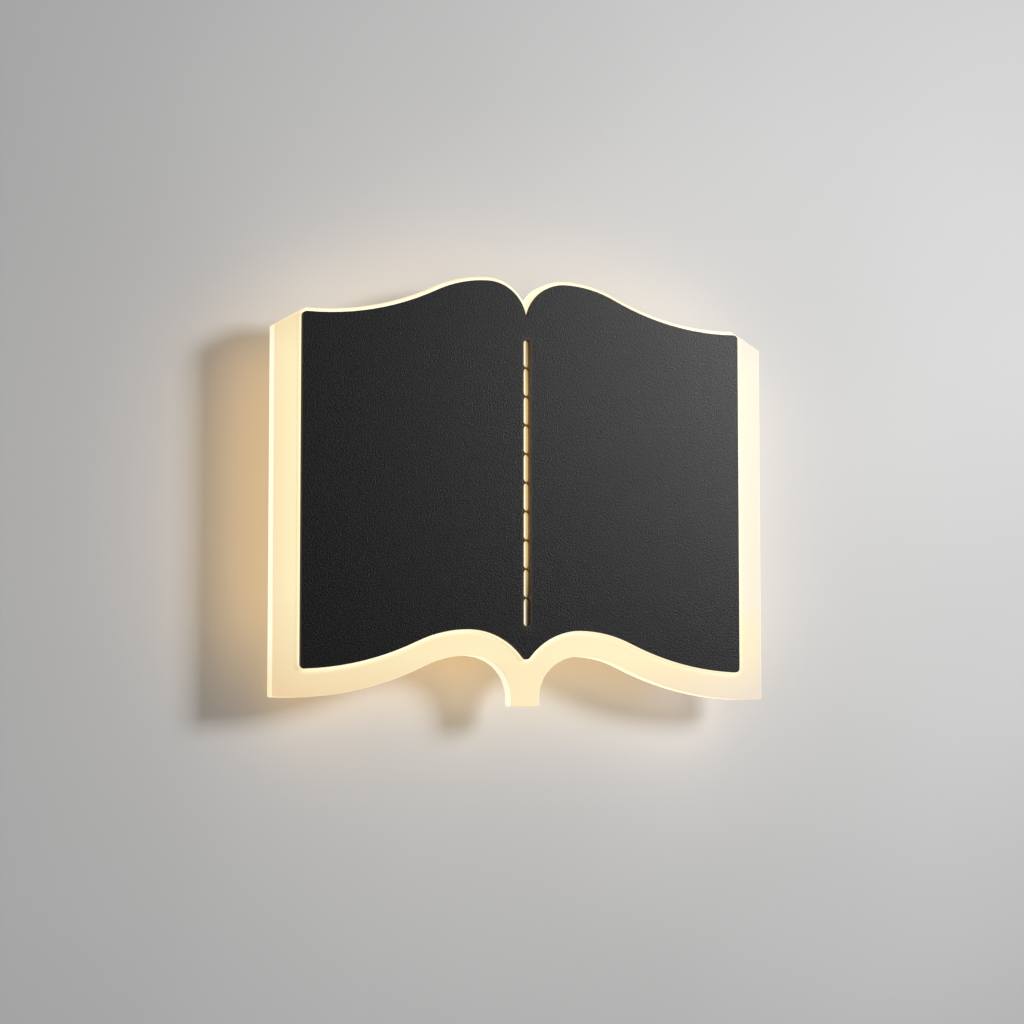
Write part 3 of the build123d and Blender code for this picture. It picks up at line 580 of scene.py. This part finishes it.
# %% Circuit boards and what sits on them
surface("white_board", (0.82, 0.82, 0.79), 0.35, patches=60.0, grains=3000.0, bump=0.08)
surface("board_green", (0.02, 0.13, 0.05), 0.32, patches=80.0, grains=5000.0, bump=0.15)
surface(
    "ferrite", (0.035, 0.035, 0.038), 0.55, patches=120.0, grains=4000.0, bump=0.4,
    edge_colour=(0.12, 0.12, 0.12), wear=0.8,
)
surface("capacitor_sleeve", (0.02, 0.025, 0.06), 0.25, patches=100.0, grains=3000.0, bump=0.1)
surface("chip_frame", (0.78, 0.77, 0.72), 0.45, patches=300.0, grains=5000.0, bump=0.15)
finishes["chip_phosphor"] = finishes["chip_frame"]
surface("phosphor", (0.86, 0.62, 0.14), 0.5, patches=400.0, grains=9000.0, bump=0.3)
surface("resistor", (0.03, 0.03, 0.032), 0.42, patches=500.0, grains=8000.0, bump=0.2)
print("finishes", len(finishes))

# %% [markdown]
# ## The cover's cut sides
# The black sheet is 3 mm thick, and the light that leaves the acrylic turns its cut sides
# brown. Most of that light would have to be carried through the acrylic, so the brown is laid
# on instead: a mask picks the faces that look sideways, and another picks the cover, because
# the canopy has the same powder coat and stays black.

# %% Masks for the cut sides
COVER_Y, SIDEWAYS = (-0.0360, -0.0368), (0.95, 0.65)
SLOT_ROW_MIDDLE, SLOT_ROW_END, SLOT_SIDE_X = 0.0043, (0.086, 0.080), (0.0038, 0.0018)
cover_tree = finishes["powder_black"].node_tree
cover_place = object_axes(cover_tree)
in_front = ramp(cover_tree, cover_place["Y"], *COVER_Y)
plumb = math_node(cover_tree, "ABSOLUTE", facing_axes(cover_tree, "True Normal")["Y"])
sideways = times(cover_tree, ramp(cover_tree, plumb, *SIDEWAYS), in_front)

from_spine = math_node(cover_tree, "ABSOLUTE", cover_place["X"])
from_row = math_node(cover_tree, "SUBTRACT", cover_place["Z"], SLOT_ROW_MIDDLE)
from_row = math_node(cover_tree, "ABSOLUTE", from_row)
beside_slots = times(
    cover_tree, ramp(cover_tree, from_spine, *SLOT_SIDE_X),
    ramp(cover_tree, from_row, *SLOT_ROW_END),
)
beside_slots = times(cover_tree, beside_slots, in_front)
print("the cover lies", round(-COVER_Y[1] / MM, 1), "mm and more from the wall")

# %% Painted glow on the cut sides
# Painted light: the acrylic's glow is painted on the cut sides as brown. The slot walls are
# painted brighter in the middle of the row and dimmer at its ends. The front just beside the slots
# gets a faint painted glow.
PAINTED_SIDE_GLOW = (0.090, 0.048, 0.006)
PAINTED_SHOULDER_GLOW = (0.050, 0.030, 0.012)
PAINTED_SLOT_WALL_LIT = (0.30, 0.17, 0.055)
PAINTED_SLOT_WALL_SHADE = (0.030, 0.012, 0.001)
WALL_DIM_ABOVE, WALL_DIM_BELOW = (0.040, 0.084, 1.0, 0.55), (-0.030, -0.068, 1.0, 0.15)
middle_of_row = times(
    cover_tree, ramp(cover_tree, cover_place["Z"], *WALL_DIM_ABOVE),
    ramp(cover_tree, cover_place["Z"], *WALL_DIM_BELOW),
)
painted_slot_wall_glow = blend_colours(cover_tree, middle_of_row, PAINTED_SLOT_WALL_SHADE, PAINTED_SLOT_WALL_LIT)
painted_side_glow = blend_colours(cover_tree, beside_slots, PAINTED_SIDE_GLOW, painted_slot_wall_glow)
tint(cover_tree, beside_slots, PAINTED_SHOULDER_GLOW)
tint(cover_tree, sideways, painted_side_glow)
print("cut sides browned")

# %% [markdown]
# ## Tinned ends on the resistors
# A surface resistor is a dark block with a tinned cap at each end. The blocks that are grown
# further down carry a number called cap, which is 1 on their ends, and the finish reads it.

# %% Resistor caps
TIN = (0.70, 0.70, 0.68)
resistor_tree = finishes["resistor"].node_tree
cap_mark = add(resistor_tree, "ShaderNodeAttribute", {"attribute_name": "cap"})
resistor_shader = tint(resistor_tree, cap_mark.outputs["Fac"], TIN)
link(resistor_tree, cap_mark.outputs["Fac"], resistor_shader.inputs["Metallic"])
print("caps read", cap_mark.attribute_name)

# %% [markdown]
# ## Lead insulation
# Each lead is soft plastic with a slight gloss. The earth lead is green with a yellow stripe
# that runs along it. The stripe could follow a map of the tube, but the lead is short and
# bends only once, so a mask of the faces that look to one side is enough.

# %% Leads
LEAD_COLOURS = {
    "lead_brown": (0.12, 0.045, 0.02), "lead_blue": (0.02, 0.09, 0.42),
    "lead_red": (0.48, 0.02, 0.02), "lead_black": (0.015, 0.015, 0.016),
    "lead_green_yellow": (0.03, 0.30, 0.05),
}
STRIPE_YELLOW, STRIPE_SIDE = (0.75, 0.60, 0.03), (0.25, 0.35)
for lead_name, lead_colour in LEAD_COLOURS.items():
    surface(lead_name, lead_colour, 0.34, patches=160.0, grains=3500.0, bump=0.2, shade=0.9)
stripe_tree = finishes["lead_green_yellow"].node_tree
stripe_mask = ramp(stripe_tree, facing_axes(stripe_tree)["X"], *STRIPE_SIDE)
tint(stripe_tree, stripe_mask, STRIPE_YELLOW)
print("leads", len(LEAD_COLOURS))

# %% [markdown]
# ## Frosted acrylic that glows
# The acrylic is lit from a ring of chips behind each page, so the glow is strongest near the
# black sheet and fades towards the four far corners and the stem's foot. Its sawn edges shine
# brighter than its face, because light that travels inside the sheet leaves there. Real
# scattering inside the sheet would be slow and noisy. One shader does it instead: a pale
# frosted base for the room's light, and an emission whose colour follows the distance from
# the light boards. The emission also turns whiter towards the right. That is painted room
# light, because the room is brighter on that side.

# %% Acrylic: how near the light boards are
acrylic, glow_tree, acrylic_shader = new_material(
    "opal_acrylic", Roughness=0.42, Specular_IOR_Level=0.35
)
acrylic_place = object_axes(glow_tree)
inward = math_node(glow_tree, "ABSOLUTE", acrylic_place["X"])


def box_distance(tree, place, low, high):
    """How far a point lies outside a box from `low` to `high` in X and Z, in metres."""
    squares = []
    for axis, start, end in zip("XZ", low, high):
        from_centre = math_node(tree, "SUBTRACT", place[axis], (start + end) / 2)
        from_centre = math_node(tree, "ABSOLUTE", from_centre)
        beyond = math_node(tree, "SUBTRACT", from_centre, (end - start) / 2)
        squares.append(math_node(tree, "POWER", math_node(tree, "MAXIMUM", beyond, 0.0), 2.0))
    return math_node(tree, "SQRT", math_node(tree, "ADD", *squares))


BOARD_HALF_WIDTH, BOARD_LOW_Z, BOARD_HIGH_Z = 0.119, -0.078, 0.066
BOARD_FADE, STEM_FADE = (0.018, 0.046, 1.0, 0.0), (0.010, 0.022, 0.85, 0.0)
away = box_distance(
    glow_tree, acrylic_place, (-BOARD_HALF_WIDTH, BOARD_LOW_Z), (BOARD_HALF_WIDTH, BOARD_HIGH_Z)
)
near = ramp(glow_tree, away, *BOARD_FADE)
near = math_node(glow_tree, "MAXIMUM", near, ramp(glow_tree, inward, *STEM_FADE))
print("boards end", round(BOARD_HALF_WIDTH / MM), "mm from the spine")

# %% Acrylic: the glow of its face
GLOW_NEAR = ((0.75, 0.63, 0.29), (0.60, 0.54, 0.36))
GLOW_FAR = ((0.58, 0.37, 0.13), (0.50, 0.39, 0.28))
GLOW_FOOT = (0.68, 0.55, 0.24)
PAINTED_FILL_AT_COVER = (1.10, 1.00, 0.69)
PAINTED_LIGHT_RIGHTWARD, FOOTWARD = (0.06, 0.125), (-0.060, -0.082)
COVER_REACH, HOLLOW_AT_COVER = 0.004, (0.55, 0.95, 1.0, 0.0)
# Painted light: the glow turns whiter towards the right, as a stand-in for the brighter room light
# on that side.
painted_light_rightward = ramp(glow_tree, acrylic_place["X"], *PAINTED_LIGHT_RIGHTWARD)
footward = ramp(glow_tree, acrylic_place["Z"], *FOOTWARD)
near_glow = blend_colours(glow_tree, painted_light_rightward, *GLOW_NEAR)
near_glow = blend_colours(glow_tree, footward, near_glow, GLOW_FOOT)
far_glow = blend_colours(glow_tree, painted_light_rightward, *GLOW_FAR)
face_glow = blend_colours(glow_tree, near, far_glow, near_glow)
# Next to the cover the glow is raised where the cover hides the acrylic. This is partly the real
# bright rim of glow along the cover's edge, and partly painted light that cancels the shade the
# cover casts on the acrylic.
cover_occlusion = add(glow_tree, "ShaderNodeAmbientOcclusion", {"samples": 8}, Distance=COVER_REACH)
painted_fill_at_cover = ramp(glow_tree, cover_occlusion.outputs["AO"], *HOLLOW_AT_COVER)
face_glow = blend_colours(glow_tree, painted_fill_at_cover, face_glow, PAINTED_FILL_AT_COVER)
print("acrylic glows", GLOW_NEAR, "to", GLOW_FAR)

# %% [markdown]
# ## The glow in the stitch slots
# Through each slot of the cover a narrow strip of the acrylic shows. It is nearly white on its
# left and gold towards the wall on its right, and it is dimmer in the slots at the two ends of
# the row, which lie further from the chips.

# %% Acrylic: the floor of the slots
SLOT_WHITE, SLOT_GOLD, NO_GLOW = (1.0, 0.93, 0.66), (0.56, 0.38, 0.13), (0.0, 0.0, 0.0)
GLOW_DIM_ABOVE, GLOW_DIM_BELOW = (0.052, 0.084, 1.0, 0.4), (-0.038, -0.068, 1.0, 0.05)
SLOT_TURN_X, SLOT_EDGE_X, SLOT_END_Z = (-0.0003, 0.0010), (0.0026, 0.0022), (0.092, 0.088)
slot_level = times(
    glow_tree, ramp(glow_tree, acrylic_place["Z"], *GLOW_DIM_ABOVE),
    ramp(glow_tree, acrylic_place["Z"], *GLOW_DIM_BELOW),
)
slot_gold = blend_colours(glow_tree, slot_level, NO_GLOW, SLOT_GOLD)
slot_right = ramp(glow_tree, acrylic_place["X"], *SLOT_TURN_X)
slot_glow = blend_colours(glow_tree, slot_right, SLOT_WHITE, slot_gold)
from_middle = math_node(glow_tree, "ABSOLUTE", acrylic_place["Z"])
in_slots = times(
    glow_tree, ramp(glow_tree, inward, *SLOT_EDGE_X),
    ramp(glow_tree, from_middle, *SLOT_END_Z),
)
face_glow = blend_colours(glow_tree, in_slots, face_glow, slot_glow)
print("slots glow from", SLOT_WHITE, "to", SLOT_GOLD)

# %% [markdown]
# ## The acrylic's edges and its frost
# The sawn edges are masked by the way that they face. They also send some light into the room,
# so they are stronger for every ray but the camera's. The face gets a fine frost and a slow
# drift of tone, and the room's mirror images of the lamp are dimmed, because the real frost
# would blur them away.

# %% Acrylic: edges
EDGE_NEAR, EDGE_FAR = (0.92, 0.87, 0.74), (0.86, 0.62, 0.30)
EDGE_UNDERNEATH, EDGE_OF_STEM = (1.05, 0.84, 0.54), (0.86, 0.71, 0.47)
EDGE_FACING, UNDERNEATH_FACING, STEM_REACH = (0.9, 0.5), (-0.5, -0.8), (0.030, 0.016)
acrylic_facing = facing_axes(glow_tree)
flat_on = math_node(glow_tree, "ABSOLUTE", acrylic_facing["Y"])
edge_mask = ramp(glow_tree, flat_on, *EDGE_FACING)
edge_glow = blend_colours(glow_tree, near, EDGE_FAR, EDGE_NEAR)
underneath = ramp(glow_tree, acrylic_facing["Z"], *UNDERNEATH_FACING)
edge_glow = blend_colours(glow_tree, underneath, edge_glow, EDGE_UNDERNEATH)
at_stem = ramp(glow_tree, inward, *STEM_REACH)
edge_glow = blend_colours(glow_tree, at_stem, edge_glow, EDGE_OF_STEM)
glow = blend_colours(glow_tree, edge_mask, face_glow, edge_glow)
clouds = place_group(glow_tree, drift_group, Patches_per_metre=18.0)
softened = blend_colours(glow_tree, 0.05, glow, GLOW_FAR[0])
glow = blend_colours(glow_tree, clouds.outputs["Mask"], softened, glow)
link(glow_tree, glow, acrylic_shader.inputs["Emission Color"])
print("edges glow", EDGE_NEAR, "to", EDGE_FAR)

# %% Acrylic: strength of the glow, and the frosted base
EDGE_BOOST, MIRROR_CUT = 1.5, -0.75
BASE_DIM, BASE_PALE = (0.39, 0.38, 0.36), (0.42, 0.41, 0.39)
glow_path = add(glow_tree, "ShaderNodeLightPath")
unseen = math_node(glow_tree, "SUBTRACT", 1.0, glow_path.outputs["Is Camera Ray"])
boost = times(glow_tree, times(glow_tree, unseen, edge_mask), EDGE_BOOST)
mirrored = times(glow_tree, glow_path.outputs["Is Glossy Ray"], MIRROR_CUT)
strength = math_node(glow_tree, "ADD", math_node(glow_tree, "ADD", boost, 1.0), mirrored)
link(glow_tree, strength, acrylic_shader.inputs["Emission Strength"])

frost = place_group(glow_tree, grain_group, Grains_per_metre=900.0, Contrast=0.25)
frosted = blend_colours(glow_tree, frost.outputs["Mask"], BASE_DIM, BASE_PALE)
link(glow_tree, frosted, acrylic_shader.inputs["Base Color"])
relief(glow_tree, acrylic_shader, frost.outputs["Height"], 0.15, 0.02 * MM)
finishes["opal_acrylic"] = acrylic
print("finishes", len(finishes))

# %% [markdown]
# ## Hand out the finishes
# The record names a finish for every node, so one loop dresses the whole lamp.

# %% Dress the nodes
slot_of = {part["node"]: part["material_slot"] for part in frame["record"]["subparts"]}
for name, node in frame["nodes"].items():
    node.data.materials.clear()
    node.data.materials.append(finishes[slot_of[name]])
print("dressed", len(slot_of), "nodes")

# %% [markdown]
# ## Where the small repeats go
# Threads, solder, phosphor windows and wire turns repeat one form at places that the frame
# already knows. They could be set by hand, but then they would drift from the frame. Instead
# the places are read from it: a node is a heap of loose triangles, so a copy is merged first
# and then taken apart into its solids. The points wait in a dictionary, which keeps their
# order, so that every run meets the solids in the same order.

# %% Solids of a node
SAME_POINT = 1e-6


def solids_of(name):
    """The points of each separate solid of a node."""
    work = bmesh.new()
    work.from_mesh(frame["nodes"][name].data)
    bmesh.ops.remove_doubles(work, verts=work.verts, dist=SAME_POINT)
    waiting = dict.fromkeys(work.verts)
    solids = []
    while waiting:
        front, reached = [waiting.popitem()[0]], []
        while front:
            corner = front.pop()
            reached.append(corner.co.copy())
            for edge in corner.link_edges:
                other = edge.other_vert(corner)
                if other in waiting:
                    del waiting[other]
                    front.append(other)
        solids.append(reached)
    work.free()
    return solids


def middle_of(points):
    """The middle, the lowest and the highest corner of some points."""
    low = Vector([min(p[axis] for p in points) for axis in range(3)])
    high = Vector([max(p[axis] for p in points) for axis in range(3)])
    return (low + high) / 2, low, high


print("studs", len(solids_of("cover_studs")), "chips", len(solids_of("leds_left")))

# %% [markdown]
# ## How a repeat is grown
# A mesh that holds only points says where each copy goes, and an attribute called turn says how
# each copy is turned. A Geometry Nodes tree puts the form on the points. The result is kept as
# a plain mesh and the tree is let go, because the frame's table lists plain meshes only.

# %% Trees with named inputs
def geometry_tree(name, **inputs):
    """A geometry tree with named number inputs and a Finish input."""
    tree = bpy.data.node_groups.new(name, "GeometryNodeTree")
    tree.interface.new_socket("Places", in_out="INPUT", socket_type="NodeSocketGeometry")
    tree.interface.new_socket("Mesh", in_out="OUTPUT", socket_type="NodeSocketGeometry")
    for socket, value in inputs.items():
        kind = "NodeSocketInt" if isinstance(value, int) else "NodeSocketFloat"
        title = socket.replace("_", " ")
        made = tree.interface.new_socket(title, in_out="INPUT", socket_type=kind)
        made.default_value = value
    tree.interface.new_socket("Finish", in_out="INPUT", socket_type="NodeSocketMaterial")
    return tree, tree.nodes.new("NodeGroupInput"), tree.nodes.new("NodeGroupOutput")


def put_on_places(tree, inputs, outputs, form):
    """Copies the form to every place, turned as the place says, and ends the tree."""
    turn = add(tree, "GeometryNodeInputNamedAttribute", {"data_type": "FLOAT_VECTOR"}, Name="turn")
    spin = add(tree, "FunctionNodeEulerToRotation")
    link(tree, turn.outputs["Attribute"], spin.inputs[0])
    copies = add(tree, "GeometryNodeInstanceOnPoints")
    link(tree, inputs.outputs["Places"], copies.inputs["Points"])
    link(tree, form, copies.inputs["Instance"])
    link(tree, spin.outputs[0], copies.inputs["Rotation"])
    real = add(tree, "GeometryNodeRealizeInstances")
    link(tree, copies.outputs[0], real.inputs[0])
    dressed = add(tree, "GeometryNodeSetMaterial")
    link(tree, real.outputs[0], dressed.inputs["Geometry"])
    link(tree, inputs.outputs["Finish"], dressed.inputs["Material"])
    link(tree, dressed.outputs[0], outputs.inputs["Mesh"])
    return copies


print("helpers for trees ready")

# %% From a tree to a plain piece
def grow(name, tree, places, finish, slot, body="lamp", **values):
    """Runs a tree on (point, turn) places and keeps the plain mesh as a piece on a body."""
    points = bpy.data.meshes.new(name + "_places")
    points.from_pydata([tuple(point) for point, _ in places], [], [])
    turns = points.attributes.new("turn", "FLOAT_VECTOR", "POINT")
    for item, (_, turn) in zip(turns.data, places):
        item.vector = turn
    holder = bpy.data.objects.new(name + "_places", points)
    scene.collection.objects.link(holder)
    modifier = holder.modifiers.new("grow", "NODES")
    modifier.node_group = tree
    given = {"Finish": finish, **{key.replace("_", " "): value for key, value in values.items()}}
    for socket in tree.interface.items_tree:
        if socket.in_out == "INPUT" and socket.name in given:
            modifier[socket.identifier] = given[socket.name]
    bpy.context.view_layer.update()
    evaluated = holder.evaluated_get(bpy.context.evaluated_depsgraph_get())
    mesh = bpy.data.meshes.new_from_object(evaluated)
    mesh.name = name
    holder.modifiers.remove(modifier)
    bpy.data.objects.remove(holder)
    piece = bpy.data.objects.new(name, mesh)
    scene.collection.objects.link(piece)
    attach(piece, body)
    print(name, "faces", len(mesh.polygons), "from", len(places), "places")


print("helper for pieces ready")

# %% [markdown]
# ## Screw threads
# The frame leaves threads out, because a plain shank is enough for its fit. A thread is a ridge
# that climbs round the shank: a spiral line with a four-sided section. The crest stands a
# twelfth of a millimetre proud, which shows, and still clears the slotted ears.

# %% Thread tree
thread_tree, thread_in, thread_out = geometry_tree(
    "thread_ridge", Shank_radius=0.0015, Pitch=0.0005, Turns=2.0, Ridge=0.00016, Steps_per_turn=28,
)
spiral = add(thread_tree, "GeometryNodeCurveSpiral")
line_radius = times(thread_tree, thread_in.outputs["Ridge"], -0.5)
line_radius = math_node(thread_tree, "ADD", line_radius, thread_in.outputs["Shank radius"])
climb = times(thread_tree, thread_in.outputs["Pitch"], thread_in.outputs["Turns"])
for source, socket in (
    (thread_in.outputs["Steps per turn"], "Resolution"), (thread_in.outputs["Turns"], "Rotations"),
    (line_radius, "Start Radius"), (line_radius, "End Radius"), (climb, "Height"),
):
    link(thread_tree, source, spiral.inputs[socket])
upright = add(thread_tree, "GeometryNodeSetCurveNormal", {"mode": "Z_UP"})
link(thread_tree, spiral.outputs[0], upright.inputs["Curve"])
section = add(thread_tree, "GeometryNodeCurvePrimitiveCircle", Resolution=4)
link(thread_tree, thread_in.outputs["Ridge"], section.inputs["Radius"])
ridge = add(thread_tree, "GeometryNodeCurveToMesh", Fill_Caps=True)
link(thread_tree, upright.outputs[0], ridge.inputs["Curve"])
link(thread_tree, section.outputs[0], ridge.inputs["Profile Curve"])
put_on_places(thread_tree, thread_in, thread_out, ridge.outputs[0])
print("tree", thread_tree.name)

# %% Threads on the studs and the side screws
TO_WALL = (math.radians(-90.0), 0.0, 0.0)
STUD_THREAD_LENGTH, SCREW_TIP_GAP = 0.78 * MM, 0.25 * MM
stud_places = []
for solid in solids_of("cover_studs"):
    middle, low, high = middle_of(solid)
    stud_places.append((Vector((middle.x, high.y - STUD_THREAD_LENGTH, middle.z)), TO_WALL))
grow("stud_threads", thread_tree, stud_places, finishes["zinc_steel"], "zinc_steel", Turns=1.2)

screw_places = []
for solid in solids_of("side_screws"):
    middle, low, high = middle_of(solid)
    side = math.copysign(1.0, middle.x)
    tip = low.x if side > 0 else high.x
    turn = (0.0, math.radians(90.0 * side), 0.0)
    screw_places.append((Vector((tip + side * SCREW_TIP_GAP, middle.y, middle.z)), turn))
grow(
    "side_screw_threads", thread_tree, screw_places, finishes["zinc_steel"], "zinc_steel",
    Shank_radius=1.95 * MM, Pitch=0.7 * MM, Turns=6.4,
)

# %% [markdown]
# ## Chips, their windows and their solder
# Each light-emitting chip is a white moulded frame round a yellow phosphor window, and sits on
# two tinned pads. The frame has the plain chip block. The window is a low many-sided plug and
# a pad is a low cone with its top cut off, so both catch light on their slopes.

# %% Places of the chips
ON_FACE = 0.01 * MM


def chip_places(node):
    """The middle of each chip's front face, and the turn that lays X along the chip."""
    places = []
    for solid in solids_of(node):
        middle, low, high = middle_of(solid)
        face = [p for p in solid if abs(p.y - low.y) < ON_FACE]
        # By distance: the corner itself, one across the chip, one along it, the far one.
        spans = sorted(((q - face[0]).length, index) for index, q in enumerate(face))
        along = face[spans[2][1]] - face[0]
        angle = math.atan2(along.z, along.x)
        places.append((Vector((middle.x, low.y, middle.z)), (math.radians(90.0), -angle, 0.0)))
    return places


chips = chip_places("leds_left") + chip_places("leds_right")
print("chips", len(chips), "first at", [round(v, 4) for v in chips[0][0]])

# %% Window tree
window_tree, window_in, window_out = geometry_tree(
    "phosphor_window", Radius=0.00115, Height=0.00006
)
plug = add(window_tree, "GeometryNodeMeshCylinder", Vertices=20)
link(window_tree, window_in.outputs["Radius"], plug.inputs["Radius"])
link(window_tree, window_in.outputs["Height"], plug.inputs["Depth"])
put_on_places(window_tree, window_in, window_out, plug.outputs["Mesh"])
grow("chip_windows", window_tree, chips, finishes["phosphor"], "chip_phosphor")

# %% Pad tree
PAD_STRETCH, PAD_TOP_SHARE = (0.7, 1.4, 1.0), 0.45
pad_tree, pad_in, pad_out = geometry_tree(
    "solder_pads", Reach=0.0021, Pad_radius=0.0008, Pad_height=0.0003, Below_face=0.0008,
)
cone = add(pad_tree, "GeometryNodeMeshCone", Vertices=12)
top_radius = times(pad_tree, pad_in.outputs["Pad radius"], PAD_TOP_SHARE)
link(pad_tree, top_radius, cone.inputs["Radius Top"])
link(pad_tree, pad_in.outputs["Pad radius"], cone.inputs["Radius Bottom"])
link(pad_tree, pad_in.outputs["Pad height"], cone.inputs["Depth"])
pair = add(pad_tree, "GeometryNodeMeshLine", {"mode": "END_POINTS"}, Count=2)
sunk = times(pad_tree, pad_in.outputs["Below face"], -1.0)
for sign, socket in ((-1.0, "Start Location"), (1.0, "Offset")):
    spot = add(pad_tree, "ShaderNodeCombineXYZ")
    shift = times(pad_tree, pad_in.outputs["Reach"], sign)
    link(pad_tree, shift, spot.inputs["X"])
    link(pad_tree, sunk, spot.inputs["Z"])
    link(pad_tree, spot.outputs[0], pair.inputs[socket])
two_pads = add(pad_tree, "GeometryNodeInstanceOnPoints", Scale=PAD_STRETCH)
link(pad_tree, pair.outputs[0], two_pads.inputs["Points"])
link(pad_tree, cone.outputs["Mesh"], two_pads.inputs["Instance"])
put_on_places(pad_tree, pad_in, pad_out, two_pads.outputs[0])
grow("chip_solder", pad_tree, chips, finishes["solder"], "tinned_brass")

# %% [markdown]
# ## Turns of wire on the transformer
# The transformer's coil shows above and below its ferrite yoke. Each turn is one rounded loop
# of enamelled wire. A row of loops along the coil's axis looks like the wound wire, and costs
# far less than one long helix.

# %% Winding tree
turn_tree, turn_in, turn_out = geometry_tree(
    "wire_turns", Width=0.0116, Depth=0.0086, Wire_radius=0.00016, Pitch=0.00036, Turns=16,
)
loop = add(turn_tree, "GeometryNodeCurvePrimitiveQuadrilateral")
link(turn_tree, turn_in.outputs["Width"], loop.inputs["Width"])
link(turn_tree, turn_in.outputs["Depth"], loop.inputs["Height"])
rounded = add(turn_tree, "GeometryNodeFilletCurve", {"mode": "POLY"}, Radius=0.0008, Count=4)
link(turn_tree, loop.outputs[0], rounded.inputs["Curve"])
wire = add(turn_tree, "GeometryNodeCurvePrimitiveCircle", Resolution=6)
link(turn_tree, turn_in.outputs["Wire radius"], wire.inputs["Radius"])
one_turn = add(turn_tree, "GeometryNodeCurveToMesh")
link(turn_tree, rounded.outputs[0], one_turn.inputs["Curve"])
link(turn_tree, wire.outputs[0], one_turn.inputs["Profile Curve"])
row = add(turn_tree, "GeometryNodeMeshLine", {"mode": "OFFSET"})
link(turn_tree, turn_in.outputs["Turns"], row.inputs["Count"])
step = add(turn_tree, "ShaderNodeCombineXYZ")
link(turn_tree, turn_in.outputs["Pitch"], step.inputs["Z"])
link(turn_tree, step.outputs[0], row.inputs["Offset"])
all_turns = add(turn_tree, "GeometryNodeInstanceOnPoints")
link(turn_tree, row.outputs[0], all_turns.inputs["Points"])
link(turn_tree, one_turn.outputs[0], all_turns.inputs["Instance"])
put_on_places(turn_tree, turn_in, turn_out, all_turns.outputs[0])
print("tree", turn_tree.name)

# %% Winding above and below the yoke
LOWER_START, UPPER_START = 0.3 * MM, 3.3 * MM
core_low, core_high = (Vector(corner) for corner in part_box("driver_transformer"))
core_middle = (core_low + core_high) / 2
coil_places = [
    (Vector((core_middle.x, core_middle.y, start)), (0.0, 0.0, 0.0))
    for start in (core_low.z + LOWER_START, core_middle.z + UPPER_START)
]
grow(
    "transformer_winding", turn_tree, coil_places, finishes["enamelled_copper"], "tinned_brass"
)

# %% [markdown]
# ## Small parts on the driver's circuit board
# Between the transformer and the capacitors the board carries a scatter of small resistors.
# The tree offers a regular grid of places and a random number with a fixed seed drops some of
# them, so the board looks laid out and comes out the same each time.

# %% Resistor form
part_tree, part_in, part_out = geometry_tree(
    "board_parts", Length=0.002, Width=0.00125, Height=0.0006, Keep=0.55, Seed=7,
)
BLOCKS = ((0.62, 0.0, 0.92), (0.19, -0.405, 1.0), (0.19, 0.405, 1.0))
form = add(part_tree, "GeometryNodeJoinGeometry")
for share, offset, scale in BLOCKS:
    size = add(part_tree, "ShaderNodeCombineXYZ")
    for axis, measure, factor in (
        ("X", "Length", share), ("Y", "Width", scale), ("Z", "Height", scale)
    ):
        scaled = times(part_tree, part_in.outputs[measure], factor)
        link(part_tree, scaled, size.inputs[axis])
    block = add(part_tree, "GeometryNodeMeshCube")
    link(part_tree, size.outputs[0], block.inputs["Size"])
    shift = add(part_tree, "ShaderNodeCombineXYZ")
    sideshift = times(part_tree, part_in.outputs["Length"], offset)
    link(part_tree, sideshift, shift.inputs["X"])
    moved = add(part_tree, "GeometryNodeTransform")
    link(part_tree, block.outputs["Mesh"], moved.inputs["Geometry"])
    link(part_tree, shift.outputs[0], moved.inputs["Translation"])
    marked = add(
        part_tree, "GeometryNodeStoreNamedAttribute", {"data_type": "FLOAT"}, Name="cap"
    )
    mark = next(s for s in marked.inputs if s.name == "Value" and s.type == "VALUE")
    mark.default_value = float(offset != 0.0)
    link(part_tree, moved.outputs[0], marked.inputs["Geometry"])
    link(part_tree, marked.outputs[0], form.inputs[0])
print("blocks in a resistor", len(BLOCKS))

# %% Scatter on the board
chance = add(part_tree, "FunctionNodeRandomValue", {"data_type": "BOOLEAN"})
link(part_tree, part_in.outputs["Seed"], chance.inputs["Seed"])
probability = next(s for s in chance.inputs if s.name == "Probability")
link(part_tree, part_in.outputs["Keep"], probability)
kept_copies = put_on_places(part_tree, part_in, part_out, form.outputs[0])
kept = next(s for s in chance.outputs if s.type == "BOOLEAN")
link(part_tree, kept, kept_copies.inputs["Selection"])

COLUMNS, COLUMN_PITCH, YOKE_CLEARANCE, STAND = 19, 4.2 * MM, 11.5 * MM, 0.28 * MM
ROWS = ((-8.5, False), (-5.0, True), (5.0, False), (8.5, True))
board_low, board_high = (Vector(corner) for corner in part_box("driver_board"))
board_middle = (board_low + board_high) / 2
QUARTER = math.radians(90.0)
part_places = []
for column in range(COLUMNS):
    x = board_middle.x + (column - COLUMNS // 2) * COLUMN_PITCH
    for row_z, turned in ROWS:
        if abs(x - core_middle.x) > YOKE_CLEARANCE:
            spot = Vector((x, board_high.y + STAND, board_middle.z + row_z * MM))
            part_places.append((spot, (QUARTER, QUARTER if turned else 0.0, 0.0)))
grow("driver_board_parts", part_tree, part_places, finishes["resistor"], "ferrite")
